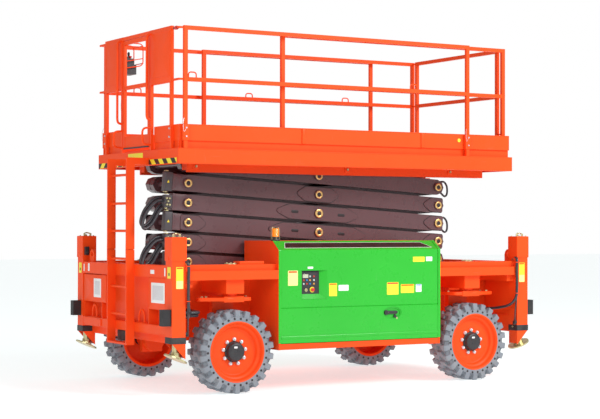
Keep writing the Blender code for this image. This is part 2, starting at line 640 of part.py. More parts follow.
def build_cylinder(label, level, barrel_finish, rod_finish, parent):
    """A lift cylinder: its barrel turns on an inner frame's cross tube, and its rod slides to the eye."""
    base, eye = cylinder_ends(level)
    length = math.dist(base, eye)
    tilt = math.atan2(eye[1] - base[1], base[0] - eye[0])
    place = Matrix.Translation((base[0], 0, base[1])) @ Matrix.Rotation(math.pi + tilt, 4, "Y")
    barrel_end = length - 0.16
    barrel = [
        rod("Y", (0, 0), 0.075, -0.05, 0.05),
        rod("X", (0, 0), BARREL_RADIUS, 0.05, barrel_end),
        rod("X", (0, 0), BARREL_RADIUS + 0.012, barrel_end - 0.08, barrel_end + 0.01),
    ]
    cuts = [
        rod("Y", (0, 0), around(0.04), -0.07, 0.07),
        rod("X", (0, 0), sleeve(LIFT_ROD_RADIUS), 0.35, barrel_end + 0.05),
    ]
    slide = [
        rod("X", (0, 0), LIFT_ROD_RADIUS, 0.40, length - 0.04),
        rod("Y", (length, 0), 0.06, -0.05, 0.05),
    ]
    pin_hole = [rod("Y", (length, 0), 0.032, -0.07, 0.07)]
    low = fuse(f"lift_cylinder_barrel_{label}", barrel_finish, [turn(p, place) for p in barrel],
               [turn(c, place) for c in cuts], pivot=(base[0], 0, base[1]), parent=parent)
    fuse(f"lift_cylinder_rod_{label}", rod_finish, [turn(p, place) for p in slide],
         [turn(c, place) for c in pin_hole], pivot=(eye[0], 0, eye[1]), parent=low)


# ---------------------------------------------------------------- platform
def deck_outline():
    """Cross-section of the deck: floor sheet, edge channels, recess and toe boards, both sides at once."""
    edge, post = EDGE_Y, EDGE_Y - POST_DEPTH - SEAT
    web = post - 0.02
    half = [
        (edge - 0.05, FASCIA_BOTTOM), (edge, FASCIA_BOTTOM), (edge, FASCIA_TOP), (web, FASCIA_TOP),
        (web, TOE_BOTTOM), (post, TOE_BOTTOM), (post, TOE_TOP), (post - 0.010, TOE_TOP),
        (post - 0.010, TOE_BOTTOM + 0.010), (web - 0.010, TOE_BOTTOM + 0.010), (web - 0.010, FASCIA_TOP + 0.010),
    ]
    under = [(edge - SHEET, FASCIA_TOP - 0.002), (edge - SHEET, FASCIA_BOTTOM + SHEET),
             (edge - 0.05, FASCIA_BOTTOM + SHEET)]
    top = half + [(-y, z) for y, z in reversed(half)]
    lower = [(-y, z) for y, z in reversed(under)] + under
    return top + lower


def deck_track_pieces(side):
    """An inward-facing roller channel under the deck, and the ear that carries the fixed shaft."""
    inner, outer = side * RAIL_Y, side * RAIL_OUT_Y
    floor_z = TOP_PIN_Z - ROLLER_RADIUS - TRACK_GAP
    roof_z = TOP_PIN_Z + ROLLER_RADIUS + TRACK_GAP
    left = LEFT_PIN_X - 0.08
    return [
        box((TRACK_LEFT, DECK_RIGHT - 0.10), (inner, outer - side * 0.001), (floor_z - 0.025, floor_z)),
        box((TRACK_LEFT, DECK_RIGHT - 0.10), (inner, outer - side * 0.001), (roof_z, roof_z + 0.025)),
        box((left, DECK_RIGHT - 0.10), (outer - side * 0.03, outer), (floor_z - 0.024, FASCIA_TOP + 0.002)),
        box((left, left + 0.16), (inner, inner + side * 0.02), (floor_z, FASCIA_TOP + 0.002)),
        box((left + 0.002, left + 0.022), (inner + side * 0.01, outer - side * 0.02), (floor_z + 0.002, FASCIA_TOP)),
    ]


def build_deck(finish):
    """The main deck with its toe boards, end beams, cross bearers and scissor tracks."""
    pieces = [prism(deck_outline(), "X", DECK_LEFT + 0.03, DECK_RIGHT - 0.015)]
    edge = EDGE_Y - 0.0005
    for low, high in ((DECK_LEFT, DECK_LEFT + 0.034), (DECK_RIGHT - 0.03, DECK_RIGHT)):
        pieces.append(box((low, high), (-edge, edge), (FASCIA_BOTTOM + 0.0005, FASCIA_TOP - 0.0005)))
    toe_x = DECK_LEFT + 0.03
    side_toe = EDGE_Y - POST_DEPTH - SEAT - 0.001
    for low, high in ((-side_toe, GATE_LOW_Y - 0.05), (GATE_HIGH_Y + 0.05, side_toe)):
        pieces.append(box((toe_x + 0.0005, toe_x + 0.0105), (low, high), (TOE_BOTTOM, TOE_TOP - 0.0005)))
        pieces.append(box((toe_x + 0.009, toe_x + 0.02), (low, high), (FASCIA_TOP - 0.002, TOE_BOTTOM + 0.012)))
    for x in (LEFT_PIN_X - 0.20, RIGHT_PIN_X + 0.30):
        pieces.append(box((x - 0.03, x + 0.03), (-EDGE_Y + 0.009, EDGE_Y - 0.009),
                          (FASCIA_BOTTOM + 0.03, FASCIA_TOP + 0.001)))
    for x in (-1.0, -0.35, 0.30, 0.95):
        for side in (NEAR, FAR):
            pieces.append(box((x - 0.025, x + 0.025), (side * (RAIL_OUT_Y - BITE), side * (EDGE_Y - 0.009)),
                              (FASCIA_BOTTOM + 0.03, FASCIA_TOP + 0.001)))
    half_width = EDGE_Y - FLOOR_PLATE_INSET
    pieces.append(box((DECK_LEFT + FLOOR_PLATE_INSET, EXTENSION_LEFT - 0.03), (-half_width, half_width),
                      (FASCIA_TOP + 0.004, FASCIA_TOP + 0.013)))
    socket = CABLE_ROUTE[-1]
    pieces.append(box((socket[0] - 0.03, socket[0] + 0.03), (socket[1] - 0.03, socket[1] + 0.03),
                      (FASCIA_TOP + 0.005, socket[2] - SEAT)))
    cuts = []
    for side in (NEAR, FAR):
        pieces += deck_track_pieces(side)
        reach = (side * (RAIL_Y - 0.02), side * (RAIL_Y + 0.06))
        cuts.append(rod("Y", (LEFT_PIN_X, TOP_PIN_Z), around(PIN_RADIUS), *reach))
    return fuse("deck_frame", finish, pieces, cuts, pivot=(LEFT_PIN_X, 0, TOP_PIN_Z))


def build_side_guardrail(label, side, finish, parent):
    """A fixed side guardrail, standing on the deck's edge channel outside the toe board."""
    at = (side * (EDGE_Y - POST_DEPTH), side * EDGE_Y)
    left, right = DECK_LEFT + 0.06, MAIN_RAIL_RIGHT
    foot = FASCIA_TOP + SEAT
    posts = [(left + TUBE / 2, foot, RAIL_TOP), (right - TUBE / 2, foot, RAIL_TOP)]
    pieces = tube_frame("Y", at, "X", (left, right), (RAIL_TOP, MID_RAIL_TOP), posts)
    return fuse("guardrail_" + label, finish, pieces, parent=parent)


def build_entry_panel(finish, parent):
    """The left end guardrail: outer posts, gate posts, rails and sheet panels either side of the gate."""
    at = (DECK_LEFT, DECK_LEFT + 0.03)
    foot, top = FASCIA_TOP + SEAT, RAIL_TOP + 0.01
    outer = EDGE_Y - 0.19
    pieces = []
    for low, high in ((-outer - TUBE / 2, GATE_LOW_Y), (GATE_HIGH_Y, outer + TUBE / 2)):
        posts = [(low + TUBE / 2, foot, top), (high - TUBE / 2, foot, top)]
        pieces += tube_frame("X", at, "Y", (low, high), (top, MID_RAIL_TOP), posts)
        pieces.append(box((at[0] + 0.012, at[0] + 0.018), (low + 0.01, high - 0.01),
                          (MID_RAIL_TOP - 0.01, top - 0.01)))
    pieces.append(box((at[0] + 0.001, at[1] - 0.001), (GATE_LOW_Y - 0.01, GATE_HIGH_Y + 0.01),
                      (top - TUBE + 0.001, top - 0.001)))
    for side in (NEAR, FAR):
        corner = side * (outer + TUBE / 2)
        for z in (RAIL_TOP - 0.02, MID_RAIL_TOP - 0.02):
            y = side * (EDGE_Y - POST_DEPTH / 2)
            pieces.append(box((at[0] + 0.004, at[1] - 0.004), (corner - side * BITE, y), (z - 0.01, z + 0.01)))
            pieces.append(box((at[0] + 0.0045, DECK_LEFT + 0.06 - SEAT), (y - 0.01, y + 0.0095),
                              (z - 0.0095, z + 0.0095)))
    return fuse("entry_panel", finish, pieces, parent=parent)


def build_gate(finish, parent):
    """The entry gate: stiles, rails and toe plate, hinged on the near gate post and opening inwards."""
    at = (DECK_LEFT + 0.002, DECK_LEFT + 0.028)
    low, high = GATE_LOW_Y + 0.012, GATE_HIGH_Y - 0.012
    top = RAIL_TOP + 0.01 - TUBE - PLAY
    posts = [(low + TUBE / 2, 2.47, top), (high - TUBE / 2, 2.47, top)]
    pieces = tube_frame("X", at, "Y", (low, high), (top, MID_RAIL_TOP), posts)
    pieces.append(box((at[0] + 0.004, at[1] - 0.004), (low + 0.001, high - 0.001), (2.465, 2.60)))
    hinge_x = at[1] + 0.004
    for z in (2.75, 3.35):
        pieces.append(rod("Z", (hinge_x, GATE_LOW_Y + 0.006), 0.0058, z - 0.04, z + 0.04, 8))
        pieces.append(box((at[1] - 0.004, hinge_x), (GATE_LOW_Y + 0.004, low + 0.006), (z - 0.038, z + 0.038)))
    return fuse("entry_gate", finish, pieces, pivot=(hinge_x, GATE_LOW_Y + 0.006, 2.47), parent=parent)


def build_upper_ladder(finish, parent):
    """The platform half of the ladder, bracketed off the deck's left end."""
    outer = -(LEG_OUT_X - 0.003 + SEAT)
    pieces = ladder_pieces(outer, LADDER_SPLIT + PLAY / 2, 2.355, (1.61, 1.89, 2.18))
    for y in (LADDER_LOW_Y + 0.0005, LADDER_HIGH_Y - STRINGER + 0.0005):
        pieces.append(box((outer - BITE, DECK_LEFT - SEAT), (y, y + STRINGER - 0.001), (2.285, 2.354)))
    return fuse("ladder_upper", finish, pieces, parent=parent)


def build_control_box(finish, parent):
    """The platform control box in its hanger, on the far sheet panel of the entry end."""
    face = DECK_LEFT + 0.018 + SEAT
    pieces = [
        box((face, face + 0.16), (0.50, 0.512), (3.38, 3.39)),
        box((face, face + 0.16), (0.64, 0.652), (3.38, 3.39)),
        box((face + 0.04, face + 0.20), (0.49, 0.66), (3.28, 3.385)),
        box((face + 0.06, face + 0.18), (0.50, 0.65), (3.38, 3.45)),
    ]
    return fuse("platform_control_box", finish, pieces, parent=parent)


def smooth_route(route, step):
    """Points about a step apart on a Catmull-Rom curve through a route's own points."""
    ends = [Vector(route[0]) * 2 - Vector(route[1])] + [Vector(p) for p in route]
    ends.append(ends[-1] * 2 - ends[-2])
    points = []
    for i in range(1, len(ends) - 2):
        a, b, c, d = ends[i - 1:i + 3]
        count = max(1, round((c - b).length / step))
        for k in range(count):
            t = k / count
            points.append(0.5 * (2 * b + (c - a) * t + (2 * a - 5 * b + 4 * c - d) * t * t
                                 + (3 * b - a - 3 * c + d) * t ** 3))
    return points + [Vector(route[-1])]


def build_cable(finish, parent):
    """The control box's cable, hanging inside the entry panel."""
    points = smooth_route(CABLE_ROUTE, CABLE_STEP)
    curve = bpy.data.curves.new("control_cable", "CURVE")
    curve.dimensions = "3D"
    curve.bevel_depth = CABLE_RADIUS
    curve.bevel_resolution = 2
    curve.use_fill_caps = True
    line = curve.splines.new("POLY")
    line.points.add(len(points) - 1)
    for point, place in zip(line.points, points):
        point.co = (*place, 1)
    curve.materials.append(finish)
    node = bpy.data.objects.new("control_cable", curve)
    bpy.context.scene.collection.objects.link(node)
    node.parent = parent
    node.matrix_parent_inverse = Matrix.Translation(-Vector(parent.location))
    return node


def build_extension(finish, deck_finish, parent):
    """The roll-out deck on its runners, and the guardrail that rides on it, nested inside the fixed ones."""
    floor_z = FASCIA_TOP + 0.010
    reach = EDGE_Y - POST_DEPTH - SEAT - 0.03 - PLAY
    right = DECK_RIGHT - 0.033
    pieces = [
        box((EXTENSION_LEFT - 0.03, right), (-reach, reach), (floor_z + 0.018, floor_z + 0.030)),
        box((right - 0.001, right + 0.010), (-reach + 0.01, reach - 0.01), (floor_z + 0.019, TOE_TOP - 0.04)),
    ]
    for y in (-0.72, 0, 0.72):
        pieces.append(box((EXTENSION_LEFT - 0.02, right - 0.002), (y - 0.02, y + 0.02),
                          (floor_z + SLIDE, floor_z + 0.020)))
    deck = fuse("extension_deck", deck_finish, pieces, pivot=(EXTENSION_LEFT, 0, floor_z), parent=parent)
    outer = EDGE_Y - EXTENSION_INSET
    foot = floor_z + 0.030 + SEAT
    end_x = right - 0.003
    pieces = []
    for side in (NEAR, FAR):
        at = (side * (outer - TUBE), side * outer)
        posts = [(EXTENSION_LEFT + TUBE / 2, foot, RAIL_TOP), (end_x - TUBE / 2, foot, RAIL_TOP)]
        pieces += tube_frame("Y", at, "X", (EXTENSION_LEFT, end_x), (RAIL_TOP, MID_RAIL_TOP), posts)
    end_at = (end_x - TUBE + 0.002, end_x - 0.002)
    end_half = outer - TUBE - 0.06
    posts = [(-end_half + TUBE / 2, foot, RAIL_TOP), (end_half - TUBE / 2, foot, RAIL_TOP)]
    pieces += tube_frame("X", end_at, "Y", (-end_half, end_half), (RAIL_TOP, MID_RAIL_TOP), posts)
    for side in (NEAR, FAR):
        for z in (RAIL_TOP - 0.02, MID_RAIL_TOP - 0.02, TOE_TOP + 0.02):
            pieces.append(box((end_x - 0.028, end_x - 0.012),
                              (side * (end_half - BITE), side * (outer - TUBE + BITE)), (z - 0.008, z + 0.008)))
    fuse("extension_guardrail", finish, pieces, pivot=(EXTENSION_LEFT, 0, floor_z), parent=deck)


def pivot_empty(name, place):
    """An empty on a joint's axis."""
    item = bpy.data.objects.new(name, None)
    item.location = place
    bpy.context.scene.collection.objects.link(item)
    return item


def main():
    clear_scene()
    orange = paint("orange_paint", (0.91, 0.10, 0.02))
    dark = paint("dark_grey_paint", (0.05, 0.05, 0.055))
    green = paint("green_paint", (0.05, 0.60, 0.08))
    tyre = paint("tyre_rubber", (0.35, 0.37, 0.40), 0.8)
    rubber = paint("black_rubber", (0.02, 0.02, 0.02), 0.7)
    zinc = paint("yellow_zinc", (0.65, 0.60, 0.42), 0.35, 0.9)
    chrome = paint("chrome", (0.8, 0.8, 0.8), 0.1, 1.0)
    plastic = paint("black_plastic", (0.03, 0.03, 0.03), 0.5)
    amber = paint("amber_lens", (0.9, 0.35, 0.02), 0.2)
    battery = paint("battery_case", (0.08, 0.08, 0.09), 0.6)
    tread = paint("deck_plate", (0.5, 0.5, 0.52), 0.4, 0.8)

    build_chassis(orange)
    for end_label, end in ENDS.items():
        for side_label, side in SIDES.items():
            label = f"{end_label}_{side_label}"
            build_leg(label, end, side, orange)
            build_foot(label, end, side, zinc)
            build_bumper(label, end, side, rubber)
            build_knuckle(label, end, side, orange)
            build_wheel(label, end, side, orange, tyre)
    for side_label, side in SIDES.items():
        build_cabinet(side_label, side, orange)
        build_door(side_label, side, green, side == NEAR)
    build_control_panel(plastic)
    build_battery(battery)
    build_beacon(amber)
    build_lower_ladder(orange)

    stack = pivot_empty("lift_pivot", (LEFT_PIN_X, 0, LOWEST_PIN_Z))
    for level in range(1, LEVELS + 1):
        build_inner(level, dark, stack)
        build_outer(level, dark, stack)
    build_cylinder("lower", 1, dark, chrome, stack)
    build_cylinder("upper", 4, dark, chrome, stack)

    deck = build_deck(orange)
    for side_label, side in SIDES.items():
        build_side_guardrail(side_label, side, orange, deck)
    build_entry_panel(orange, deck)
    build_gate(orange, deck)
    build_upper_ladder(orange, deck)
    build_control_box(plastic, deck)
    build_cable(rubber, deck)
    build_extension(orange, tread, deck)


main()
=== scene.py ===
"""Looks of a rough-terrain scissor lift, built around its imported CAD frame.

New pieces are surfaces worked out as whole arrays: a grid of points that depends on two
parameters, closed at its poles, and joined into one mesh per piece. Metres, +Z up.
"""
import json
import math

import bmesh
import bpy
import numpy as np
from mathutils import Matrix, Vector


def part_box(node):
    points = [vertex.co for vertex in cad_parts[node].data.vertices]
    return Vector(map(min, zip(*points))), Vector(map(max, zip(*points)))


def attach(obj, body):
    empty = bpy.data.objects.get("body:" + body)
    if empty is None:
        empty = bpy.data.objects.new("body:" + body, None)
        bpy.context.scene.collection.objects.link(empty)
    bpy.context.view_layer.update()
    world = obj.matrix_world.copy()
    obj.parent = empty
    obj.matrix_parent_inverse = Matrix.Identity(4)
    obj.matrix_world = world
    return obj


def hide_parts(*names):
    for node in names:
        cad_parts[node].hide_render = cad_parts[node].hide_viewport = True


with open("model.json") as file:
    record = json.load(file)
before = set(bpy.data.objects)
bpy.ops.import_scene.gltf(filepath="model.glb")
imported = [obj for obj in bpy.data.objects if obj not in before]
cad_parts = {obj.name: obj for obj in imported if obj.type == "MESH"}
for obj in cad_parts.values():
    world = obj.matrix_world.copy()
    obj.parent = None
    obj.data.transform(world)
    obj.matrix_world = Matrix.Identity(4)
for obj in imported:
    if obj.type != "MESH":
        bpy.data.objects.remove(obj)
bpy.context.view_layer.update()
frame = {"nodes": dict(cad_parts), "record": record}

NEAR, FAR, LEFT, RIGHT = -1, 1, -1, 1
SIDES = {"near": NEAR, "far": FAR}
ENDS = {"left": LEFT, "right": RIGHT}
CORNERS = [(f"{end}_{side}", ENDS[end], SIDES[side]) for end in ENDS for side in SIDES]
LEVELS = 6


# ---------------------------------------------------------------- colours and shared effects
def tint(red, green, blue):
    """A screen colour, 0 to 255 a channel, as linear light."""
    share = np.array([red, green, blue]) / 255
    linear = np.where(share <= 0.04045, share / 12.92, ((share + 0.055) / 1.055) ** 2.4)
    return (*linear.tolist(), 1.0)


def add(tree, kind, sockets=None, **settings):
    """One shader node; a socket's value is a number, a colour or another node's output."""
    made = tree.nodes.new("ShaderNode" + kind)
    for setting, value in settings.items():
        setattr(made, setting, value)
    for socket, value in (sockets or {}).items():
        if isinstance(value, bpy.types.NodeSocket):
            tree.links.new(value, made.inputs[socket])
        else:
            made.inputs[socket].default_value = value
    return made


def effect(name, takes, gives):
    """An empty shader group with named inputs and outputs."""
    tree = bpy.data.node_groups.new(name, "ShaderNodeTree")
    for label, kind in takes:
        tree.interface.new_socket(label, in_out="INPUT", socket_type="NodeSocket" + kind)
    for label, kind in gives:
        tree.interface.new_socket(label, in_out="OUTPUT", socket_type="NodeSocket" + kind)
    return tree, tree.nodes.new("NodeGroupInput").outputs, tree.nodes.new("NodeGroupOutput").inputs


def mixed(tree, share, low, high, blend="MIX"):
    """Two colours mixed by a share; the output socket."""
    made = tree.nodes.new("ShaderNodeMix")
    made.data_type = "RGBA"
    made.blend_type = blend
    for index, value in ((0, share), (6, low), (7, high)):
        if isinstance(value, bpy.types.NodeSocket):
            tree.links.new(value, made.inputs[index])
        else:
            made.inputs[index].default_value = value
    return made.outputs[2]


def noise(tree, place, scale, detail=3.0, roughness=0.5):
    return add(tree, "TexNoise", {"Vector": place, "Scale": scale, "Detail": detail,
                                  "Roughness": roughness}).outputs["Fac"]


def spread(tree, value, low, high, to_low=0.0, to_high=1.0):
    """A value mapped from one range to another, held inside it."""
    return add(tree, "MapRange", {"Value": value, "From Min": low, "From Max": high,
                                  "To Min": to_low, "To Max": to_high}).outputs["Result"]


def mottling():
    """Colour drifting a little lighter and darker over a hand's breadth and over the whole panel."""
    tree, take, give = effect("mottling", [("Colour", "Color"), ("Scale", "Float"), ("Amount", "Float")],
                              [("Colour", "Color")])
    place = add(tree, "TexCoord").outputs["Object"]
    broad = noise(tree, place, take["Scale"], 4, 0.6)
    drift = add(tree, "Math", {0: spread(tree, broad, 0.3, 0.7, -1, 1), 1: take["Amount"]},
                operation="MULTIPLY").outputs[0]
    value = add(tree, "Math", {0: drift, 1: 1.0}, operation="ADD").outputs[0]
    made = add(tree, "HueSaturation", {"Value": value, "Color": take["Colour"]})
    tree.links.new(made.outputs["Color"], give["Colour"])
    return tree


def peel():
    """Fine ripple in a sprayed or moulded surface, as a bent normal and a patchy roughness."""
    tree, take, give = effect("peel", [("Scale", "Float"), ("Depth", "Float"), ("Roughness", "Float"),
                                       ("Patchy", "Float")], [("Normal", "Vector"), ("Roughness", "Float")])
    place = add(tree, "TexCoord").outputs["Object"]
    ripple = noise(tree, place, take["Scale"], 2, 0.5)
    bump = add(tree, "Bump", {"Strength": take["Depth"], "Distance": 0.002, "Height": ripple})
    tree.links.new(bump.outputs["Normal"], give["Normal"])
    patch = spread(tree, noise(tree, place, 7.0, 6, 0.65), 0.35, 0.7, -0.5, 0.5)
    shift = add(tree, "Math", {0: patch, 1: take["Patchy"]}, operation="MULTIPLY").outputs[0]
    total = add(tree, "Math", {0: shift, 1: take["Roughness"]}, operation="ADD", use_clamp=True)
    tree.links.new(total.outputs[0], give["Roughness"])
    return tree


def settled_dust():
    """Pale dust where a face looks up and in a band near the ground, broken up by noise."""
    tree, take, give = effect("settled_dust", [("Colour", "Color"), ("Roughness", "Float"),
                                               ("Amount", "Float")],
                              [("Colour", "Color"), ("Roughness", "Float")])
    place = add(tree, "TexCoord").outputs["Object"]
    up = add(tree, "SeparateXYZ", {0: add(tree, "NewGeometry").outputs["Normal"]}).outputs["Z"]
    height = add(tree, "SeparateXYZ", {0: place}).outputs["Z"]
    lies = spread(tree, up, 0.5, 1.0)
    splashed = spread(tree, height, 0.9, 0.05, 0.0, 0.8)
    either = add(tree, "Math", {0: lies, 1: splashed}, operation="MAXIMUM").outputs[0]
    broken = spread(tree, noise(tree, place, 9.0, 8, 0.7), 0.42, 0.72)
    here = add(tree, "Math", {0: either, 1: broken}, operation="MULTIPLY").outputs[0]
    share = add(tree, "Math", {0: here, 1: take["Amount"]}, operation="MULTIPLY", use_clamp=True).outputs[0]
    tree.links.new(mixed(tree, share, take["Colour"], tint(196, 186, 172)), give["Colour"])
    rough = spread(tree, share, 0.0, 1.0, 0.0, 0.35)
    total = add(tree, "Math", {0: rough, 1: take["Roughness"]}, operation="ADD", use_clamp=True)
    tree.links.new(total.outputs[0], give["Roughness"])
    return tree


def fine_marks():
    """Hairline rubs: noise stretched along X and Z, thresholded, as a mask."""
    tree, take, give = effect("fine_marks", [("Amount", "Float")], [("Mask", "Float")])
    place = add(tree, "TexCoord").outputs["Object"]
    masks = []
    for stretch in ((3.0, 160.0, 160.0), (140.0, 140.0, 4.0)):
        long = add(tree, "Mapping", {"Vector": place, "Scale": stretch}).outputs[0]
        masks.append(spread(tree, noise(tree, long, 1.0, 2, 0.5), 0.70, 0.78))
    both = add(tree, "Math", {0: masks[0], 1: masks[1]}, operation="MAXIMUM").outputs[0]
    patch = spread(tree, noise(tree, place, 2.3, 3, 0.5), 0.5, 0.65)
    kept = add(tree, "Math", {0: both, 1: patch}, operation="MULTIPLY").outputs[0]
    total = add(tree, "Math", {0: kept, 1: take["Amount"]}, operation="MULTIPLY", use_clamp=True)
    tree.links.new(total.outputs[0], give["Mask"])
    return tree


MOTTLING, PEEL, DUST, MARKS = mottling(), peel(), settled_dust(), fine_marks()


def coat(name, colour, roughness=0.3, metallic=0.0, clear=0.0, mottle=(1.5, 0.05), ripple=(260.0, 0.12),
         patchy=0.1, dust=0.2, marks=0.2, rub=(0.8, 0.78, 0.75, 1.0), specular=0.5, glow=None):
    """A finish made of the shared effects: colour drift, hairline rubs, settled dust and surface ripple."""
    made = bpy.data.materials.new(name)
    made.use_nodes = True
    tree = made.node_tree
    skin = tree.nodes["Principled BSDF"]

    def placed(group, **sockets):
        step = add(tree, "Group", node_tree=group)
        for socket, value in sockets.items():
            if isinstance(value, bpy.types.NodeSocket):
                tree.links.new(value, step.inputs[socket])
            else:
                step.inputs[socket].default_value = value
        return step.outputs

    drift = placed(MOTTLING, Colour=colour, Scale=mottle[0], Amount=mottle[1])["Colour"]
    rubbed = mixed(tree, placed(MARKS, Amount=marks)["Mask"], drift, rub)
    surface = placed(PEEL, Scale=ripple[0], Depth=ripple[1], Roughness=roughness, Patchy=patchy)
    dusty = placed(DUST, Colour=rubbed, Roughness=surface["Roughness"], Amount=dust)
    tree.links.new(dusty["Colour"], skin.inputs["Base Color"])
    tree.links.new(dusty["Roughness"], skin.inputs["Roughness"])
    tree.links.new(surface["Normal"], skin.inputs["Normal"])
    skin.inputs["Metallic"].default_value = metallic
    skin.inputs["Specular IOR Level"].default_value = specular
    skin.inputs["Coat Weight"].default_value = clear
    skin.inputs["Coat Roughness"].default_value = 0.08
    if glow:
        skin.inputs["Emission Color"].default_value = glow[0]
        skin.inputs["Emission Strength"].default_value = glow[1]
    return made


ORANGE = coat("orange powder coat", tint(250, 80, 26), 0.42, clear=0.0, mottle=(0.8, 0.06), dust=0.03,
              marks=0.08,
              specular=0.16)
# Dark grey arm paint; its reddish cast is painted reflection of the orange parts around it.
ARM_GREY_WITH_PAINTED_REFLECTION = coat("dark grey arm paint with reddish painted reflection", tint(98, 70, 74), 0.30, clear=0.10, mottle=(1.1, 0.10), dust=0.25,
                marks=0.35, rub=(0.22, 0.2, 0.2, 1))
GREEN = coat("green door paint", tint(42, 180, 46), 0.30, clear=0.08, mottle=(0.9, 0.05), dust=0.05,
             specular=0.35)
TREAD = coat("grey solid rubber", tint(132, 137, 146), 0.72, mottle=(5.0, 0.09), ripple=(420.0, 0.35),
             dust=0.25,
             marks=0.05, specular=0.3)
RUBBER = coat("black rubber", tint(38, 37, 40), 0.55, mottle=(9.0, 0.12), ripple=(500.0, 0.25), dust=0.25,
              marks=0.1, rub=(0.12, 0.12, 0.12, 1), specular=0.4)
WHITE_ZINC = coat("white zinc plate", tint(214, 216, 222), 0.30, metallic=0.6, mottle=(14.0, 0.08),
                  ripple=(300.0, 0.08), dust=0.05)
ZINC = coat("yellow zinc plate", tint(206, 196, 150), 0.33, metallic=0.85, mottle=(14.0, 0.15),
            ripple=(300.0, 0.08), dust=0.1)
BRASS = coat("bronze bush", tint(226, 190, 122), 0.30, metallic=0.75, mottle=(20.0, 0.10), dust=0.05)
CHROME = coat("chrome rod", tint(214, 216, 220), 0.12, metallic=1.0, mottle=(3.0, 0.03), ripple=(200.0, 0.03),
              dust=0.05, marks=0.4)
PLASTIC = coat("black plastic", tint(44, 42, 46), 0.42, mottle=(6.0, 0.06), ripple=(700.0, 0.3), dust=0.08)
LENS = coat("amber lens", tint(255, 150, 30), 0.12, clear=0.8, mottle=(10.0, 0.05), ripple=(40.0, 0.05),
            dust=0.03,
            glow=(tint(255, 120, 10), 0.35))
CASE = coat("battery case", tint(64, 66, 72), 0.5, mottle=(4.0, 0.08), dust=0.3)
CHEQUER = coat("chequered deck plate", tint(168, 168, 172), 0.34, metallic=0.9, mottle=(3.0, 0.08),
               ripple=(60.0, 0.6), dust=0.3)
WHITE = coat("white sticker", tint(240, 240, 238), 0.35, mottle=(12.0, 0.03), ripple=(90.0, 0.05), dust=0.08)
YELLOW = coat("yellow sticker", tint(246, 226, 50), 0.35, mottle=(12.0, 0.03), ripple=(90.0, 0.05), dust=0.08)
RED = coat("red plastic", tint(214, 30, 34), 0.3, clear=0.3, mottle=(12.0, 0.04), dust=0.03)
CREAM_YELLOW = coat("cream sticker", tint(252, 236, 150), 0.35, mottle=(12.0, 0.03), ripple=(90.0, 0.05),
                    dust=0.05)
BLUE = coat("blue sticker print", tint(40, 120, 220), 0.35, mottle=(12.0, 0.03), ripple=(90.0, 0.05),
            dust=0.05)
PALE_PRINT = coat("pale sticker print", tint(214, 212, 214), 0.4, mottle=(60.0, 0.06), dust=0.05)
# Dark print for labels and bands; also painted shade in the tyres' cushion holes, the doubler slots and the rims
# round the doublers.
INK_AND_PAINTED_SHADE = coat("dark print and painted shade", tint(34, 24, 28), 0.4, mottle=(12.0, 0.04), dust=0.05)

FINISHES = {
    "orange_paint": ORANGE, "dark_grey_paint": ARM_GREY_WITH_PAINTED_REFLECTION, "green_paint": GREEN, "tyre": TREAD,
    "black_rubber": RUBBER, "yellow_zinc": ZINC, "chrome": CHROME, "black_plastic": PLASTIC,
    "amber_lens": LENS, "battery_case": CASE, "deck_plate": CHEQUER,
}
for part in frame["record"]["subparts"]:
    node = frame["nodes"][part["node"]]
    if not node.material_slots:
        node.data.materials.append(None)
    for held in node.material_slots:
        held.link = "OBJECT"
        held.material = FINISHES[part["material_slot"]]


# ---------------------------------------------------------------- surfaces
def grid_quads(rows, columns, ring_rows=False, ring_columns=True):
    """Corner numbers of the quads of a rows x columns grid; either way may close on itself."""
    row = np.arange(rows if ring_rows else rows - 1)[:, None]
    column = np.arange(columns if ring_columns else columns - 1)[None, :]
    next_row, next_column = (row + 1) % rows, (column + 1) % columns
    corners = (row * columns + column, row * columns + next_column,
               next_row * columns + next_column, next_row * columns + column)
    return np.stack([corner.ravel() for corner in corners], axis=1)


def capped(grid):
    """A shell from rows of closed rings: each end row is drawn to its own middle, which shuts the pole."""
    first, last = grid[:1].mean(axis=1, keepdims=True), grid[-1:].mean(axis=1, keepdims=True)
    ends = [np.repeat(end, grid.shape[1], axis=1) for end in (first, last)]
    return closed(np.concatenate([ends[0], grid, ends[1]]))


def closed(grid, ring_rows=False):
    """A shell, as points and quads, from a grid of points."""
    rows, columns = grid.shape[:2]
    return grid.reshape(-1, 3), grid_quads(rows, columns, ring_rows)


def turned_about(axis, centre, radius, along, angle):
    """Points at centre + along the axis + radius * (cos angle, sin angle) across it."""
    across, up = radius * np.cos(angle), radius * np.sin(angle)
    order = {"X": (along, across, up), "Y": (across, along, up), "Z": (across, up, along)}[axis]
    return np.stack(np.broadcast_arrays(*order), axis=-1) + np.array(centre, float)


def lathe(profile, centre, axis="Z", sides=40, ring=False, start=0.0):
    """Surface of revolution of (radius, along) points; a ring profile closes on itself, others at the axis."""
    profile = np.array(profile, float)
    angle = start + np.linspace(0, 2 * np.pi, sides, endpoint=False)[None, :]
    grid = turned_about(axis, centre, profile[:, :1], profile[:, 1:], angle)
    return closed(grid, True) if ring else capped(grid)


def disc(centre, radius, low, high, axis="Y", edge=0.002, sides=32, start=0.0):
    """A short turned button with a quarter-round rim."""
    side = 1 if high > low else -1
    edge = min(edge, abs(high - low) * 0.45)
    turn = np.linspace(0, np.pi / 2, 4)
    rim = np.stack([radius - edge + edge * np.sin(turn), high - side * edge * (1 - np.cos(turn))], axis=1)
    return lathe(np.concatenate([[(radius, low)], rim[::-1]]), centre, axis, sides, start=start)


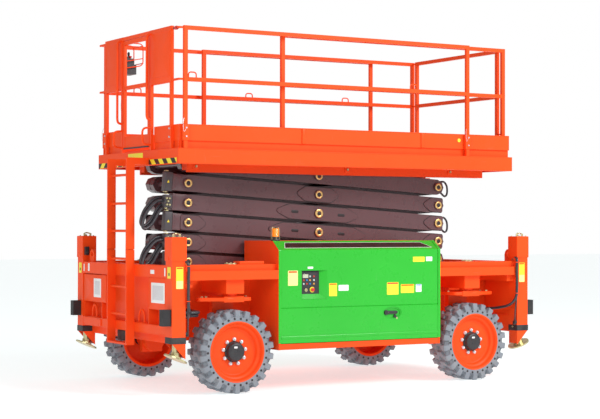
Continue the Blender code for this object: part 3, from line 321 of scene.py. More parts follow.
def slab(centre, size, corner=0.01, edge=0.003, normal="Y", steps=4, tilt=0.0):
    """Rounded plate: a rounded rectangle drawn in by edge * (1 - cos v) while its height turns by edge * sin v.

    size is (first, second, thickness), first and second being the two axes across the normal, in X, Y, Z order;
    tilt turns the plate about its own first axis.
    """
    half = np.array(size[:2], float) / 2
    thick = size[2] / 2
    edge = min(edge, thick, corner)
    quarter = np.linspace(0, np.pi / 2, steps)
    signs = np.array([(1, 1), (-1, 1), (-1, -1), (1, -1)], float)
    angle = (np.arange(4)[:, None] * np.pi / 2 + quarter[None, :])
    heading = np.stack([np.cos(angle), np.sin(angle)], axis=-1).reshape(-1, 2)
    middle = np.repeat(signs * (half - corner), steps, axis=0)
    roll = np.linspace(0, np.pi / 2, 4)
    inset = np.concatenate([edge * (1 - np.sin(roll)), edge * (1 - np.cos(roll))])
    height = np.concatenate([-thick + edge * (1 - np.cos(roll)), thick - edge + edge * np.sin(roll)])
    outline = middle[None] + (corner - inset)[:, None, None] * heading[None]
    first, second = outline[..., 0], outline[..., 1]
    third = np.broadcast_to(height[:, None], first.shape)
    cos, sin = math.cos(tilt), math.sin(tilt)
    second, third = second * cos - third * sin, second * sin + third * cos
    order = {"X": (third, first, second), "Y": (first, third, second), "Z": (first, second, third)}[normal]
    return capped(np.stack(order, axis=-1) + np.array(centre, float))


def rounded_line(corners, radius, steps=6, ring=False):
    """A broken line whose corners are quadratic curves from radius before to radius after each."""
    corners = np.array(corners, float)
    if ring:
        before, after, inner = np.roll(corners, 1, axis=0), np.roll(corners, -1, axis=0), corners
    else:
        before, after, inner = corners[:-2], corners[2:], corners[1:-1]

    def towards(other):
        gap = other - inner
        length = np.linalg.norm(gap, axis=1, keepdims=True)
        return inner + gap * np.minimum(radius / length, 0.5)

    t = np.linspace(0, 1, steps)[None, :, None]
    start, stop, bend = towards(before)[:, None], towards(after)[:, None], inner[:, None]
    curve = ((1 - t) ** 2 * start + 2 * t * (1 - t) * bend + t ** 2 * stop).reshape(-1, corners.shape[1])
    return curve if ring else np.concatenate([corners[:1], curve, corners[-1:]])


def smooth_line(route, count=8):
    """Catmull-Rom curve through a route: each span is a cubic of its four nearest points."""
    route = np.array(route, float)
    ends = np.concatenate([[2 * route[0] - route[1]], route, [2 * route[-1] - route[-2]]])
    a, b, c, d = (ends[i:len(ends) - 3 + i][:, None] for i in range(4))
    t = np.linspace(0, 1, count, endpoint=False)[None, :, None]
    curve = 0.5 * (2 * b + (c - a) * t + (2 * a - 5 * b + 4 * c - d) * t ** 2 + (3 * b - a - 3 * c + d) * t ** 3)
    return np.concatenate([curve.reshape(-1, 3), route[-1:]])


def carried(line, outline, up=(0, 0, 1), ring=False):
    """An outline of (side, up) points carried along a line, square to it; up keeps it from twisting."""
    line, outline = np.array(line, float), np.array(outline, float)
    if ring:
        ahead = np.roll(line, -1, axis=0) - np.roll(line, 1, axis=0)
    else:
        ahead = np.gradient(line, axis=0)
    ahead /= np.linalg.norm(ahead, axis=1, keepdims=True)
    side = np.cross(ahead, np.broadcast_to(np.array(up, float), ahead.shape))
    side /= np.linalg.norm(side, axis=1, keepdims=True)
    rise = np.cross(side, ahead)
    grid = line[:, None] + outline[None, :, :1] * side[:, None] + outline[None, :, 1:] * rise[:, None]
    return closed(grid, True) if ring else capped(grid)


def circle(radius, sides=12):
    angle = np.linspace(0, 2 * np.pi, sides, endpoint=False)
    return np.stack([radius * np.cos(angle), radius * np.sin(angle)], axis=1)


def tube(line, radius, sides=12, up=(0, 0, 1), ring=False):
    """A round bar or hose along a line."""
    return carried(line, circle(radius, sides), up, ring)


def extruded(outline, plane, low, high, edge=0.002):
    """A flat plate of any outline, given as a closed loop in a plane, with its two rims softened.

    Rings run low, low + edge, high - edge, high; the end rings are drawn in towards the outline's middle.
    """
    outline = np.array(outline, float)
    middle = outline.mean(axis=0)
    reach = np.linalg.norm(outline - middle, axis=1, keepdims=True)
    drawn_in = middle + (outline - middle) * (1 - edge / reach)
    side = 1 if high > low else -1
    rings = [(drawn_in, low), (outline, low + side * edge), (outline, high - side * edge), (drawn_in, high)]
    layers = []
    for ring, at in rings:
        first, second = ring[:, 0], ring[:, 1]
        third = np.full(len(ring), at)
        order = {"X": (third, first, second), "Y": (first, third, second), "Z": (first, second, third)}[plane]
        layers.append(np.stack(order, axis=-1))
    return capped(np.array(layers))


def placed(shell, matrix):
    """A shell moved by a 4 x 4 matrix."""
    points, quads = shell
    matrix = np.array(matrix, float)
    return points @ matrix[:3, :3].T + matrix[:3, 3], quads


def piece(name, body, finish, shells, sharp=40):
    """Join closed shells into one mesh that rides on a body; equal points merge and faces turn outwards."""
    counts = np.cumsum([0] + [len(points) for points, _ in shells[:-1]])
    points = np.concatenate([points for points, _ in shells])
    quads = np.concatenate([quads + start for (_, quads), start in zip(shells, counts)])
    mesh = bpy.data.meshes.new(name)
    mesh.from_pydata(points.tolist(), [], quads.tolist())
    work = bmesh.new()
    work.from_mesh(mesh)
    bmesh.ops.remove_doubles(work, verts=work.verts, dist=2e-6)
    bmesh.ops.recalc_face_normals(work, faces=work.faces)
    work.to_mesh(mesh)
    work.free()
    mesh.shade_smooth()
    mesh.set_sharp_from_angle(angle=math.radians(sharp))
    mesh.materials.append(finish)
    made = bpy.data.objects.new(name, mesh)
    bpy.context.scene.collection.objects.link(made)
    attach(made, body)
    return made


def middle_of(name):
    low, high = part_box(name)
    return (low + high) / 2


# ---------------------------------------------------------------- wheels
TYRE_RADIUS, TYRE_HALF = float(middle_of("tyre_left_near")[2]) - 0.0004, 0.1525
LUGS, LUG_SAMPLES = 22, 20
HOLES, NUTS = 30, 9


def tyre_shell(centre, side, start):
    """Tread and sidewalls: a section loop that swells by the lug mask of angle and side.

    Point = low(s) + mask(angle, s) * (high(s) - low(s)); the mask is one on a lug and zero in a groove, and
    a lug runs from one shoulder just past the middle, where it steps round to meet its neighbour.
    """
    half = TYRE_HALF
    shoulder_low = [(0.299, half - 0.012), (0.304, half - 0.007), (0.312, half - 0.006),
                    (0.330, half - 0.006),
                    (0.343, half - 0.008), (0.346, half - 0.016), (0.352, half - 0.024),
                    (0.365, half - 0.030),
                    (0.378, half - 0.036), (0.384, half - 0.046)]
    shoulder_high = [(0.299, half - 0.012), (0.304, half - 0.007), (0.312, half - 0.006),
                     (0.330, half - 0.006),
                     (0.344, half - 0.005), (0.349, half - 0.001), (0.357, half), (0.385, half - 0.001),
                     (0.404, half - 0.005), (0.413, half - 0.013)]
    tread_y = np.linspace(half - 0.024, 0, 14)
    crown = TYRE_RADIUS - 0.010 * (tread_y / half) ** 2
    tread_high = np.stack([crown, tread_y], axis=1)
    tread_low = np.stack([np.full(14, 0.386), tread_y * 0.88], axis=1)
    low = np.concatenate([shoulder_low, tread_low])
    high = np.concatenate([shoulder_high, tread_high])
    mirror = np.array([1, -1])
    low = np.concatenate([low, low[-2::-1] * mirror, [(0.296, -half + 0.02), (0.296, half - 0.02)]])
    high = np.concatenate([high, high[-2::-1] * mirror, [(0.296, -half + 0.02), (0.296, half - 0.02)]])
    angle = start + np.linspace(0, 2 * np.pi, LUGS * LUG_SAMPLES, endpoint=False)[None, :]
    across = high[:, 1:]
    mask = np.zeros((len(low), angle.shape[1]))
    for face, offset in ((1, 0.0), (-1, 0.5)):
        inward = np.clip((half - 0.055 - face * across) / 0.10, 0, 1)
        step = 0.34 * np.clip(inward / 0.25, 0, 1) + 0.10 * inward
        phase = (angle * LUGS / (2 * np.pi) + offset + face * step) % 1.0
        width = 0.56 - 0.10 * inward
        reach = np.clip(0.5 - (np.abs(phase - 0.5) - width / 2) / 0.05, 0, 1)
        mask = np.maximum(mask, reach * (face * across > -0.012))
    radius = low[:, :1] + mask * (high[:, :1] - low[:, :1])
    along = low[:, 1:] + mask * (high[:, 1:] - low[:, 1:])
    return closed(turned_about("Y", centre, radius, side * along, angle), True)


def rim_shell(centre, side):
    """Rolled flange, dished ring, flat disc with a hub hole, and the barrel behind it, as one closed ring."""
    half = TYRE_HALF
    profile = [
        (0.296, half - 0.030), (0.300, half - 0.020), (0.3035, half - 0.012), (0.3025, half - 0.006),
        (0.297, half - 0.0035), (0.290, half - 0.0055), (0.283, half - 0.014), (0.278, half - 0.026),
        (0.275, half - 0.040), (0.269, half - 0.047), (0.258, half - 0.049), (0.249, half - 0.054),
        (0.243, half - 0.066), (0.240, half - 0.080), (0.232, half - 0.088), (0.222, half - 0.090),
        (0.200, half - 0.087), (0.160, half - 0.087), (0.100, half - 0.087), (0.080, half - 0.087),
        (0.078, half - 0.098), (0.100, half - 0.100), (0.230, half - 0.102), (0.262, half - 0.108),
        (0.270, half - 0.118), (0.272, 0.0), (0.273, 0.015 - half), (0.284, 0.008 - half),
        (0.298, 0.004 - half), (0.3030, 0.010 - half), (0.298, 0.020 - half), (0.288, 0.030 - half),
        (0.287, 0.0), (0.288, half - 0.036),
    ]
    profile = [(radius, side * along) for radius, along in profile]
    return lathe(profile, centre, "Y", 72, ring=True)


def around_hub(centre, side, count, ring, make, start=0.0):
    """One small shell at each of count places round a hub."""
    angles = start + np.arange(count) * 2 * np.pi / count
    return [make((centre[0] + ring * math.cos(a), centre[1], centre[2] + ring * math.sin(a)),
                 side) for a in angles]


def sidewall_hole(place, side):
    """A dark cup at one of the sidewall's cushion holes, its floor dished; its dark colour is painted shade
    standing in for the hole's depth.
    """
    y = side * (TYRE_HALF - 0.0065)
    return lathe([(0.0116, y), (0.0122, y + side * 0.0012), (0.0114, y + side * 0.0014),
                  (0.0080, y + side * 0.0010),
                  (0.004, y + side * 0.0008)], place, "Y", 12)


def wheel_nut(place, side):
    """A plated wheel nut, turned, with a stepped and domed top."""
    y = side * (TYRE_HALF - 0.090)
    return lathe([(0.0195, y), (0.0195, y + side * 0.018), (0.0170, y + side * 0.0225),
                  (0.008, y + side * 0.025),
                  (0.008, y + side * 0.034), (0.005, y + side * 0.036)], place, "Y", 12)


def hub_cap_shells(centre, side):
    """Black hub: a wide drum behind, a narrower cap with a rolled edge and a dished face."""
    base = TYRE_HALF - 0.092
    profile = [(0.104, base), (0.104, base + 0.010), (0.100, base + 0.016), (0.093, base + 0.020),
               (0.093, base + 0.052), (0.090, base + 0.062), (0.082, base + 0.068), (0.060, base + 0.071),
               (0.030, base + 0.0715), (0.010, base + 0.0715)]
    drum = lathe([(radius, side * along) for radius, along in profile], centre, "Y", 48)
    face = base + 0.071
    plugs = [disc((centre[0] + dx, centre[1], centre[2] + dz), 0.006, side * face, side * (face + 0.005),
                  sides=10)
             for dx, dz in ((0.014, 0.010), (-0.016, -0.014))]
    return [drum] + plugs


for corner, end, side in CORNERS:
    hub = middle_of("tyre_" + corner)
    wheel = "wheel_" + corner
    start = 0.07 * (1 + end) + 0.11 * side
    tread = piece("tread_" + corner, wheel, TREAD, [tyre_shell(hub, side, start)], sharp=35)
    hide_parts("tyre_" + corner)
    dish = piece("dish_" + corner, wheel, ORANGE, [rim_shell(hub, side)])
    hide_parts("rim_" + corner)
    # each cushion hole is a dark cup of painted shade, not a real opening
    holes = around_hub(hub, side, HOLES, 0.3285, sidewall_hole)
    holes += around_hub(hub, -side, HOLES, 0.3285, sidewall_hole)
    piece("sidewall_hole_shades_" + corner, wheel, INK_AND_PAINTED_SHADE, holes)
    piece("wheel_nuts_" + corner, wheel, WHITE_ZINC, around_hub(hub, side, NUTS, 0.124, wheel_nut,
                                                                math.pi / 2))
    piece("hub_cap_" + corner, wheel, PLASTIC, hub_cap_shells(hub, side))
    plate_y = hub[1] + side * (TYRE_HALF - 0.0205)
    piece("hub_label_" + corner, wheel, WHITE,
          [slab((hub[0] - 0.012, plate_y, hub[2] + 0.045), (0.036, 0.018, 0.001), 0.002, 0.0004)])


# ---------------------------------------------------------------- control cable
CABLE_DIAMETER = 0.016
CABLE_ROUTE = [
    (-1.87, 0.625, 3.2797), (-1.87, 0.625, 3.24), (-1.875, 0.650, 3.12), (-1.885, 0.662, 3.00),
    (-1.895, 0.635, 2.87), (-1.90, 0.570, 2.75), (-1.90, 0.520, 2.65), (-1.90, 0.500, 2.56),
    (-1.90, 0.500, 2.5003),
]
cable_line = smooth_line(CABLE_ROUTE, 5)
cable = piece("control_cable_run", "platform", RUBBER,
              [tube(cable_line, CABLE_DIAMETER / 2, 12, up=(1, 0, 0))])
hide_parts("control_cable")


# ---------------------------------------------------------------- small shapes
def block(x, y, z, corner=0.006, edge=0.003, normal="Y"):
    """A rounded block between low and high X, Y and Z."""
    low, high = np.minimum(*np.array([x, y, z], float).T), np.maximum(*np.array([x, y, z], float).T)
    centre, size = (low + high) / 2, high - low
    across = {"X": (1, 2, 0), "Y": (0, 2, 1), "Z": (0, 1, 2)}[normal]
    return slab(centre, tuple(size[list(across)]), min(corner, size[list(across)][:2].min() / 2.2), edge,
                normal)


def hexagon(place, radius, low, high, axis="Y", turn=0.3):
    """A bolt head: six sides and a chamfered top."""
    side = 1 if high > low else -1
    top = high - side * abs(high - low) * 0.25
    return lathe([(radius, low), (radius, top), (radius * 0.86, high)], place, axis, 6, start=turn)


def ring_plate(outer, inner, plane, low, high):
    """A plate with a hole: four loops, outer back, outer front, inner front, inner back, joined in a ring."""
    layers = []
    for loop, at in ((outer, low), (outer, high), (inner, high), (inner, low)):
        loop = np.array(loop, float)
        first, second, third = loop[:, 0], loop[:, 1], np.full(len(loop), at)
        order = {"X": (third, first, second), "Y": (first, third, second), "Z": (first, second, third)}[plane]
        layers.append(np.stack(order, axis=-1))
    return closed(np.array(layers), True)


def oval(centre, half, angles):
    return np.stack([centre[0] + half[0] * np.cos(angles), centre[1] + half[1] * np.sin(angles)], axis=1)


def oblong(centre, half, angles):
    """A rectangle read at given angles from its centre."""
    reach = 1 / np.maximum(np.abs(np.cos(angles)) / half[0], np.abs(np.sin(angles)) / half[1])
    return np.stack([centre[0] + reach * np.cos(angles), centre[1] + reach * np.sin(angles)], axis=1)


def corner_angles(half, count=48):
    """Evenly spread angles with a rectangle's own corners among them."""
    corner = math.atan2(half[1], half[0])
    own = [corner, math.pi - corner, math.pi + corner, 2 * math.pi - corner]
    return np.unique(np.round(np.concatenate([np.linspace(0, 2 * np.pi, count, endpoint=False), own]), 6))


def sticker(name, body, finish, side, x, z, y, proud=0.0008):
    """A blank label on a face square to Y."""
    return piece(name, body, finish, [block(x, (y, y + side * proud), z, 0.006, 0.0004)])


def end_sticker(name, body, finish, end, y, z, x, proud=0.0008):
    """A blank label on a face square to X."""
    return piece(name, body, finish, [block((x, x + end * proud), y, z, 0.006, 0.0004, "X")])


# ---------------------------------------------------------------- scissor stack
LEFT_PIN_X, RIGHT_PIN_X, LOWEST_PIN_Z, LEVEL_PITCH = -1.6305, 1.4935, 1.09, 0.202
ARM_FACE, ARM_BACK, ARM_DEPTH = 0.42, 0.33, 0.17
STOWED_TILT = math.atan(LEVEL_PITCH / (RIGHT_PIN_X - LEFT_PIN_X))
ARM_LENGTH = (RIGHT_PIN_X - LEFT_PIN_X) / math.cos(STOWED_TILT)
POINTED_PLATES = {1: ((-0.08, 0.28, 0.20), (1.562, 0.60, 0.44)),
                  2: ((-0.08, 0.28, 0.20), (1.562, 0.60, 0.44)),
                  3: ((-0.08, 0.28, 0.20), (1.562, 0.60, 0.44), (3.20, 0.25, 0.16)),
                  4: ((1.562, 0.50, 0.36), (3.20, 0.25, 0.16)),
                  5: ((1.562, 0.25, 0.16), (3.20, 0.25, 0.16)), 6: ()}


def arm_place(level):
    """From along-the-arm coordinates, centred on an outer arm's left pin, to where the arm lies folded."""
    return (Matrix.Translation((LEFT_PIN_X, 0, LOWEST_PIN_Z + LEVEL_PITCH * level))
            @ Matrix.Rotation(STOWED_TILT, 4, "Y"))


def pointed_plate(station, reach, shoulder, side, grow=0.0, proud=0.008):
    """A doubler welded round a pin: flat top and bottom, tapering to a blunt point at each open end."""
    deep = ARM_DEPTH / 2 - 0.008 + grow
    reach, shoulder = reach + grow, shoulder + grow
    right = [(station + shoulder, -deep), (station + reach, -0.020), (station + reach + 0.008, 0.0),
             (station + reach, 0.020), (station + shoulder, deep)]
    left = [(station - shoulder, deep), (station - reach, 0.020), (station - reach - 0.008, 0.0),
            (station - reach, -0.020), (station - shoulder, -deep)]
    if station < 0:
        left = [(-0.08, deep), (-0.08, -deep)]
    if station > ARM_LENGTH:
        right = [(station, -deep), (station, deep)]
    outline = rounded_line(np.array(right + left), 0.02, 4, ring=True)
    return extruded(outline, "Y", side * (ARM_FACE - 0.002), side * (ARM_FACE + proud), 0.002)


def bush_ring(station, side, outer=0.044):
    """A bronze bush's flange with a dark bore."""
    y = ARM_FACE + 0.0215
    profile = [(0.024, y - 0.010), (0.024, y + 0.004), (0.027, y + 0.0065), (outer - 0.003, y + 0.0065),
               (outer, y + 0.004), (outer, y - 0.010)]
    return lathe([(radius, side * along) for radius, along in profile], (station, 0, 0), "Y", 28, ring=True)


def dress_arms():
    """Doublers, slots painted dark as shade, a dark rim of painted shade round each doubler, bushes, square left
    ends and their hose brackets on each outer arm.
    """
    for level in range(1, LEVELS + 1):
        place, body = arm_place(level), f"scissor_outer_{level}"
        plates, edge_shade_rims, rings, bolts, slots, ends, brackets, marks, fittings = ([] for _ in range(9))
        for side in (NEAR, FAR):
            stations = [0.0, ARM_LENGTH / 2, ARM_LENGTH]
            if level == 1:
                stations = stations[:2]
            if level == LEVELS:
                stations = stations[1:]
            for station in stations:
                rings.append(bush_ring(station, side, 0.048 if station and level < 5 else 0.043))
                bolts.append(disc((station, 0, 0), 0.0215, side * 0.438, side * 0.4435, sides=18))
                bolts.append(hexagon((station, 0, 0), 0.010, side * 0.443, side * 0.4475))
            for station, reach, shoulder in POINTED_PLATES[level]:
                plates.append(pointed_plate(station, reach, shoulder, side))
                # a dark plate 7 mm larger behind each doubler: a rim of painted shade along the doubler's edge
                edge_shade_rims.append(pointed_plate(station, reach, shoulder, side, 0.007, 0.0015))
                # dark sheets over the slots: painted shade in their openings
                if reach > 0.4:
                    for offset in (-0.29, 0.29):
                        slots.append(block((station + offset - 0.045, station + offset + 0.045),
                                           (side * (ARM_FACE + 0.006), side * (ARM_FACE + 0.0088)),
                                           (-0.016, 0.016), 0.0145, 0.001))
            if level < LEVELS and side == NEAR:
                ends.append(block((-0.168, 0.02), (side * (ARM_BACK + 0.003), side * (ARM_FACE - 0.001)),
                                  (-0.085, 0.085), 0.008, 0.004))
                ends.append(block((-0.172, -0.150), (side * (ARM_BACK + 0.001), side * (ARM_FACE + 0.004)),
                                  (-0.088, 0.088), 0.006, 0.004))
                tall = 0.098 if level % 2 else 0.066
                brackets.append(block((-0.262, -0.176), (side * (ARM_BACK + 0.03), side * (ARM_FACE + 0.012)),
                                      (-tall, tall), 0.006, 0.004))
                if level % 2:
                    triangle = [(-0.236, -0.012), (-0.208, -0.012), (-0.222, 0.016)]
                    marks.append(extruded(rounded_line(triangle, 0.004, 3, ring=True), "Y",
                                          side * (ARM_FACE + 0.0115), side * (ARM_FACE + 0.0128), 0.0004))
                else:
                    for row, column in ((0.030, -0.245), (0.030, -0.215), (0.0, -0.23), (-0.035, -0.24),
                                        (-0.035, -0.21)):
                        fittings.append(hexagon((column, 0, row), 0.012, side * (ARM_FACE + 0.011),
                                                side * (ARM_FACE + 0.030)))
                for row in (-tall - 0.012, tall + 0.006):
                    fittings.append(block((-0.255, -0.225),
                                          (side * (ARM_FACE - 0.04), side * (ARM_FACE + 0.008)),
                                          (row, row + 0.010), 0.003, 0.002))
        groups = (("arm_doublers", ARM_GREY_WITH_PAINTED_REFLECTION, plates, "dark_grey_paint"),
                  ("arm_bushes", BRASS, rings, "yellow_zinc"),
                  ("pin_bolts", PLASTIC, bolts, "black_plastic"),
                  ("doubler_slot_and_edge_shade", INK_AND_PAINTED_SHADE, slots + edge_shade_rims, "dark_grey_paint"),
                  ("arm_ends", ARM_GREY_WITH_PAINTED_REFLECTION, ends, "dark_grey_paint"),
                  ("hose_brackets", BRACKET, brackets, "dark_grey_paint"),
                  ("bracket_marks", YELLOW, marks, "yellow_zinc"),
                  ("hose_unions", ZINC, fittings, "yellow_zinc"))
        for label, finish, shells, slot in groups:
            if shells:
                piece(f"{label}_{level}", body, finish, [placed(shell, place) for shell in shells])


BRACKET = coat("dark bracket paint", tint(72, 68, 72), 0.45, clear=0.1, mottle=(3.0, 0.08), dust=0.15)
dress_arms()

HOSE_DIAMETER = 0.034
ARM_END_X = LEFT_PIN_X - 0.085         # hoses run on behind their bracket to the arm's own end


def hose_loop(name, body, ends, swing, drop, side, y):
    """One hose that leaves a bracket, swings out and down, and comes back to it."""
    top, bottom = ends
    route = [(ARM_END_X, side * y, top[1]), (top[0], side * y, top[1]),
             (top[0] - 0.35 * swing, side * y, top[1] - 0.02),
             (top[0] - 0.80 * swing, side * (y + 0.01), top[1] - 0.45 * drop),
             (top[0] - swing, side * (y + 0.02), top[1] - 0.85 * drop),
             (top[0] - 0.86 * swing, side * (y + 0.02), top[1] - drop),
             (top[0] - 0.5 * swing, side * (y + 0.01), top[1] - 0.80 * drop),
             (bottom[0], side * y, bottom[1]), (ARM_END_X, side * y, bottom[1])]
    line = smooth_line(route, 6)
    made = piece(name, body, HOSE, [tube(line, HOSE_DIAMETER / 2, 12, up=(0, 1, 0))],
                 sharp=60)
    return made


HOSE = coat("ribbed hose rubber", tint(50, 50, 56), 0.38, clear=0.2, mottle=(16.0, 0.1), ripple=(900.0, 0.5),
            dust=0.1)
for level in (2, 4):
    pin_z = LOWEST_PIN_Z + LEVEL_PITCH * level
    for count, y in enumerate((0.345, 0.385)):
        hose_loop(f"hose_loop_left_{level}_{count}", f"scissor_outer_{level}",
                  ((-1.893, pin_z + 0.055 - 0.03 * count), (-1.893, pin_z - 0.020 - 0.03 * count)),
                  0.235, 0.290, NEAR, y)

# ---------------------------------------------------------------- cabinet doors
SIDE_FACE, UPPER_FACE, LOWER_FACE = 1.19, 1.184, 1.187
for label, side in SIDES.items():
    door = "cabinet_door_" + label
    slope = math.atan2(0.124, 0.09)
    chamfer = (Matrix.Translation((0, side * 1.122, 1.465)) @ Matrix.Rotation(side * slope, 4, "X"))
    for name, finish, grow, lift, slot in (("band_border", WHITE, 0.0, 0.0008, "yellow_zinc"),
                                           ("band", INK_AND_PAINTED_SHADE, 0.005, 0.0016, "black_plastic")):
        outline = [(-0.905 + 1.6 * grow, -0.046 + grow), (-0.865 + 0.4 * grow, 0.046 - grow),
                   (0.795 - 0.4 * grow, 0.046 - grow), (0.905 - 2.4 * grow, -0.046 + grow)]
        shell = extruded(outline, "Y", -side * 0.001, side * lift, 0.0002)
        piece(f"{name}_{label}", door, finish, [placed(shell, chamfer)])
    half = (0.12, 0.07)
    angles = corner_angles(half)
    filler = ring_plate(oblong((0.38, 0.76), (half[0] - 0.0004, half[1] - 0.0004), angles),
                        oval((0.38, 0.758), (0.112, 0.064), angles), "Y", side * 1.1725, side * LOWER_FACE)
    lip = ring_plate(oval((0.38, 0.758), (0.114, 0.066), angles), oval((0.38, 0.756), (0.100, 0.053), angles),
                     "Y",
                     side * 1.1725, side * (LOWER_FACE - 0.006))
    piece("latch_pocket_" + label, door, GREEN, [filler, lip])
    latch = [block((0.275, 0.445), (side * 1.176, side * 1.192), (0.744, 0.778), 0.015, 0.006),
             disc((0.300, 0, 0.761), 0.025, side * 1.173, side * 1.200, sides=24),
             disc((0.415, 0, 0.722), 0.016, side * 1.173, side * 1.190, sides=20)]
    piece("door_latch_" + label, door, PLASTIC, latch)
    piece("latch_screw_" + label, door, ZINC, [disc((0.325, 0, 0.762), 0.006, side * 1.190, side * 1.1945),
                                               block((0.425, 0.445), (side * 1.186, side * 1.190),
                                                     (0.690, 0.712))])
    bead = [(-0.9585, side * (LOWER_FACE - 0.001), 0.538), (0.9585, side * (LOWER_FACE - 0.001), 0.538)]
    arch = np.linspace(0, np.pi, 9)
    profile = np.stack([0.007 * np.sin(arch) * -side, 0.016 * np.cos(arch)], axis=1)
    piece("door_bead_" + label, door, GREEN, [carried(bead, profile)])

bevel = [
    extruded([(-0.4995, -1.1570), (-0.4205, -1.1570), (-0.4205, -1.1865)], "Z", 0.922, 1.2085, 0.0003),
    extruded([(-1.1570, 0.972), (-1.1570, 0.9215), (-1.1865, 0.9215)], "X", -0.7185, -0.4215, 0.0003),
]
piece("panel_bevel", "cabinet_door_near", GREEN, bevel)
panel_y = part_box("ground_control_panel")[0][1]
piece("control_plate", "chassis", PLASTIC, [block((-0.716, -0.508), (panel_y, panel_y - 0.002),
                                                  (0.980, 1.205), 0.006, 0.001)])
piece("display", "chassis", coat("display glass", tint(196, 198, 172), 0.15, clear=0.6),
      [block((-0.692, -0.626), (panel_y - 0.0015, panel_y - 0.004), (1.135, 1.172), 0.004, 0.001)])
buttons = {"blue": [], "amber": [], "white": [], "red": []}
for row, z in enumerate((1.150, 1.112, 1.075)):
    for column, x in enumerate((-0.680, -0.643, -0.606, -0.560)):
        if row or column > 1:
            hue = ("blue", "amber", "white", "red")[(row * 3 + column) % 4]
            buttons[hue].append(block((x - 0.009, x + 0.009), (panel_y - 0.0015, panel_y - 0.006),
                                      (z - 0.009, z + 0.009),
                                      0.004, 0.002))
for hue, colour in (("blue", (40, 120, 190)), ("amber", (214, 150, 50)), ("white", (190, 205, 205)),
                    ("red", (190, 50, 40))):
    piece(f"buttons_{hue}", "chassis", coat(f"{hue} button", tint(*colour), 0.35, clear=0.3), buttons[hue])
piece("key_switch", "chassis", ZINC, [disc((-0.655, 0, 1.012), 0.017, panel_y - 0.001, panel_y - 0.012,
                                           sides=20),
                                      block((-0.658, -0.652), (panel_y - 0.012, panel_y - 0.020),
                                            (1.000, 1.024))])
piece("stop_collar", "chassis", YELLOW, [disc((-0.580, 0, 1.015), 0.029, panel_y - 0.001, panel_y - 0.006,
                                              sides=28)])
piece("stop_button", "chassis", RED, [lathe([(0.012, panel_y - 0.005), (0.012, panel_y - 0.014),
                                             (0.019, panel_y - 0.015),
                                             (0.020, panel_y - 0.022), (0.016, panel_y - 0.027),
                                             (0.008, panel_y - 0.029)],
                                            (-0.580, 0, 1.015), "Y", 24)])
DOOR_LABELS = [
    ("long_yellow", CREAM_YELLOW, (-0.880, -0.765), (1.060, 1.212)),
               ("long_yellow_head", ORANGE, (-0.872, -0.775), (1.190, 1.206)),
    ("white_small", WHITE, (-0.650, -0.585), (1.228, 1.250)),
    ("yellow_middle", YELLOW, (-0.395, -0.300), (0.945, 1.078)),
               ("yellow_middle_head", ORANGE, (-0.389, -0.306), (1.062, 1.073)),
    ("white_middle", WHITE, (-0.282, -0.160), (0.998, 1.058)),
    ("yellow_right", YELLOW, (0.312, 0.458), (0.945, 1.076)),
               ("yellow_right_head", RED, (0.318, 0.452), (1.058, 1.071)),
    ("yellow_wide", YELLOW, (0.486, 0.655), (0.960, 1.052)),
               ("yellow_wide_head", ORANGE, (0.492, 0.649), (1.036, 1.048)),
    ("white_right", WHITE, (0.676, 0.750), (0.968, 1.050)),
               ("white_right_head", BLUE, (0.682, 0.744), (1.036, 1.046)),
    ("yellow_top", YELLOW, (0.640, 0.790), (1.286, 1.340)),
               ("white_top", WHITE, (0.806, 0.888), (1.292, 1.340)),
]
for name, finish, x, z in DOOR_LABELS:
    raised = name.endswith("head")
    sticker("label_" + name, "cabinet_door_near", finish, NEAR, x, z,
            -UPPER_FACE + (-0.0006 if raised else 0.0002),
            0.0007 if raised else 0.0010)

# ---------------------------------------------------------------- beacon
beacon_low, beacon_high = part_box("beacon")
bx, by = ((beacon_low + beacon_high) / 2)[:2]
bz = beacon_low[2]
base = piece("beacon_base", "chassis", PLASTIC, [
    lathe([(0.046, bz), (0.046, bz + 0.014), (0.043, bz + 0.022), (0.038, bz + 0.026), (0.038, bz + 0.040),
           (0.034, bz + 0.043)], (bx, by, 0), "Z", 36),
    disc((bx, by, 0), 0.026, bz + 0.128, bz + 0.137, "Z")])
ridges = [(0.0335 + 0.0022 * (step % 2), bz + 0.041 + step * 0.0055) for step in range(16)]
lens = piece("beacon_lens", "chassis", LENS, [lathe(ridges + [(0.026, bz + 0.129)], (bx, by, 0), "Z", 36)])
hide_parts("beacon")
cage = [tube(rounded_line([(bx + 0.045 * math.cos(a), by + 0.045 * math.sin(a), bz + 0.012),
                           (bx + 0.045 * math.cos(a), by + 0.045 * math.sin(a), bz + 0.135),
                           (bx + 0.006 * math.cos(a), by + 0.006 * math.sin(a), bz + 0.1405)], 0.02), 0.0022,
             8,
             up=(math.cos(a + 1.57), math.sin(a + 1.57), 0)) for a in np.arange(6) * np.pi / 3 + 0.2]
piece("beacon_guard", "chassis", ZINC, cage)

# ---------------------------------------------------------------- legs and end frames
LEG_X, LEG_Y, LEG_HALF, HAT_TOP = 2.0975, 1.11, 0.0725, 1.548
LEG_OUT, LEG_FACE = LEG_X + LEG_HALF, LEG_Y + LEG_HALF
FRAME_FACE, SET_BACK, OUTER_PANEL = 2.167, 2.060, 2.1625


def square_sleeve(centre, half_out, half_in, low, high):
    """A band round a square leg."""
    angles = corner_angles((1, 1), 40)
    return ring_plate(oblong(centre, (half_out, half_out), angles),
                      oblong(centre, (half_in, half_in), angles), "Z",
                      low, high)


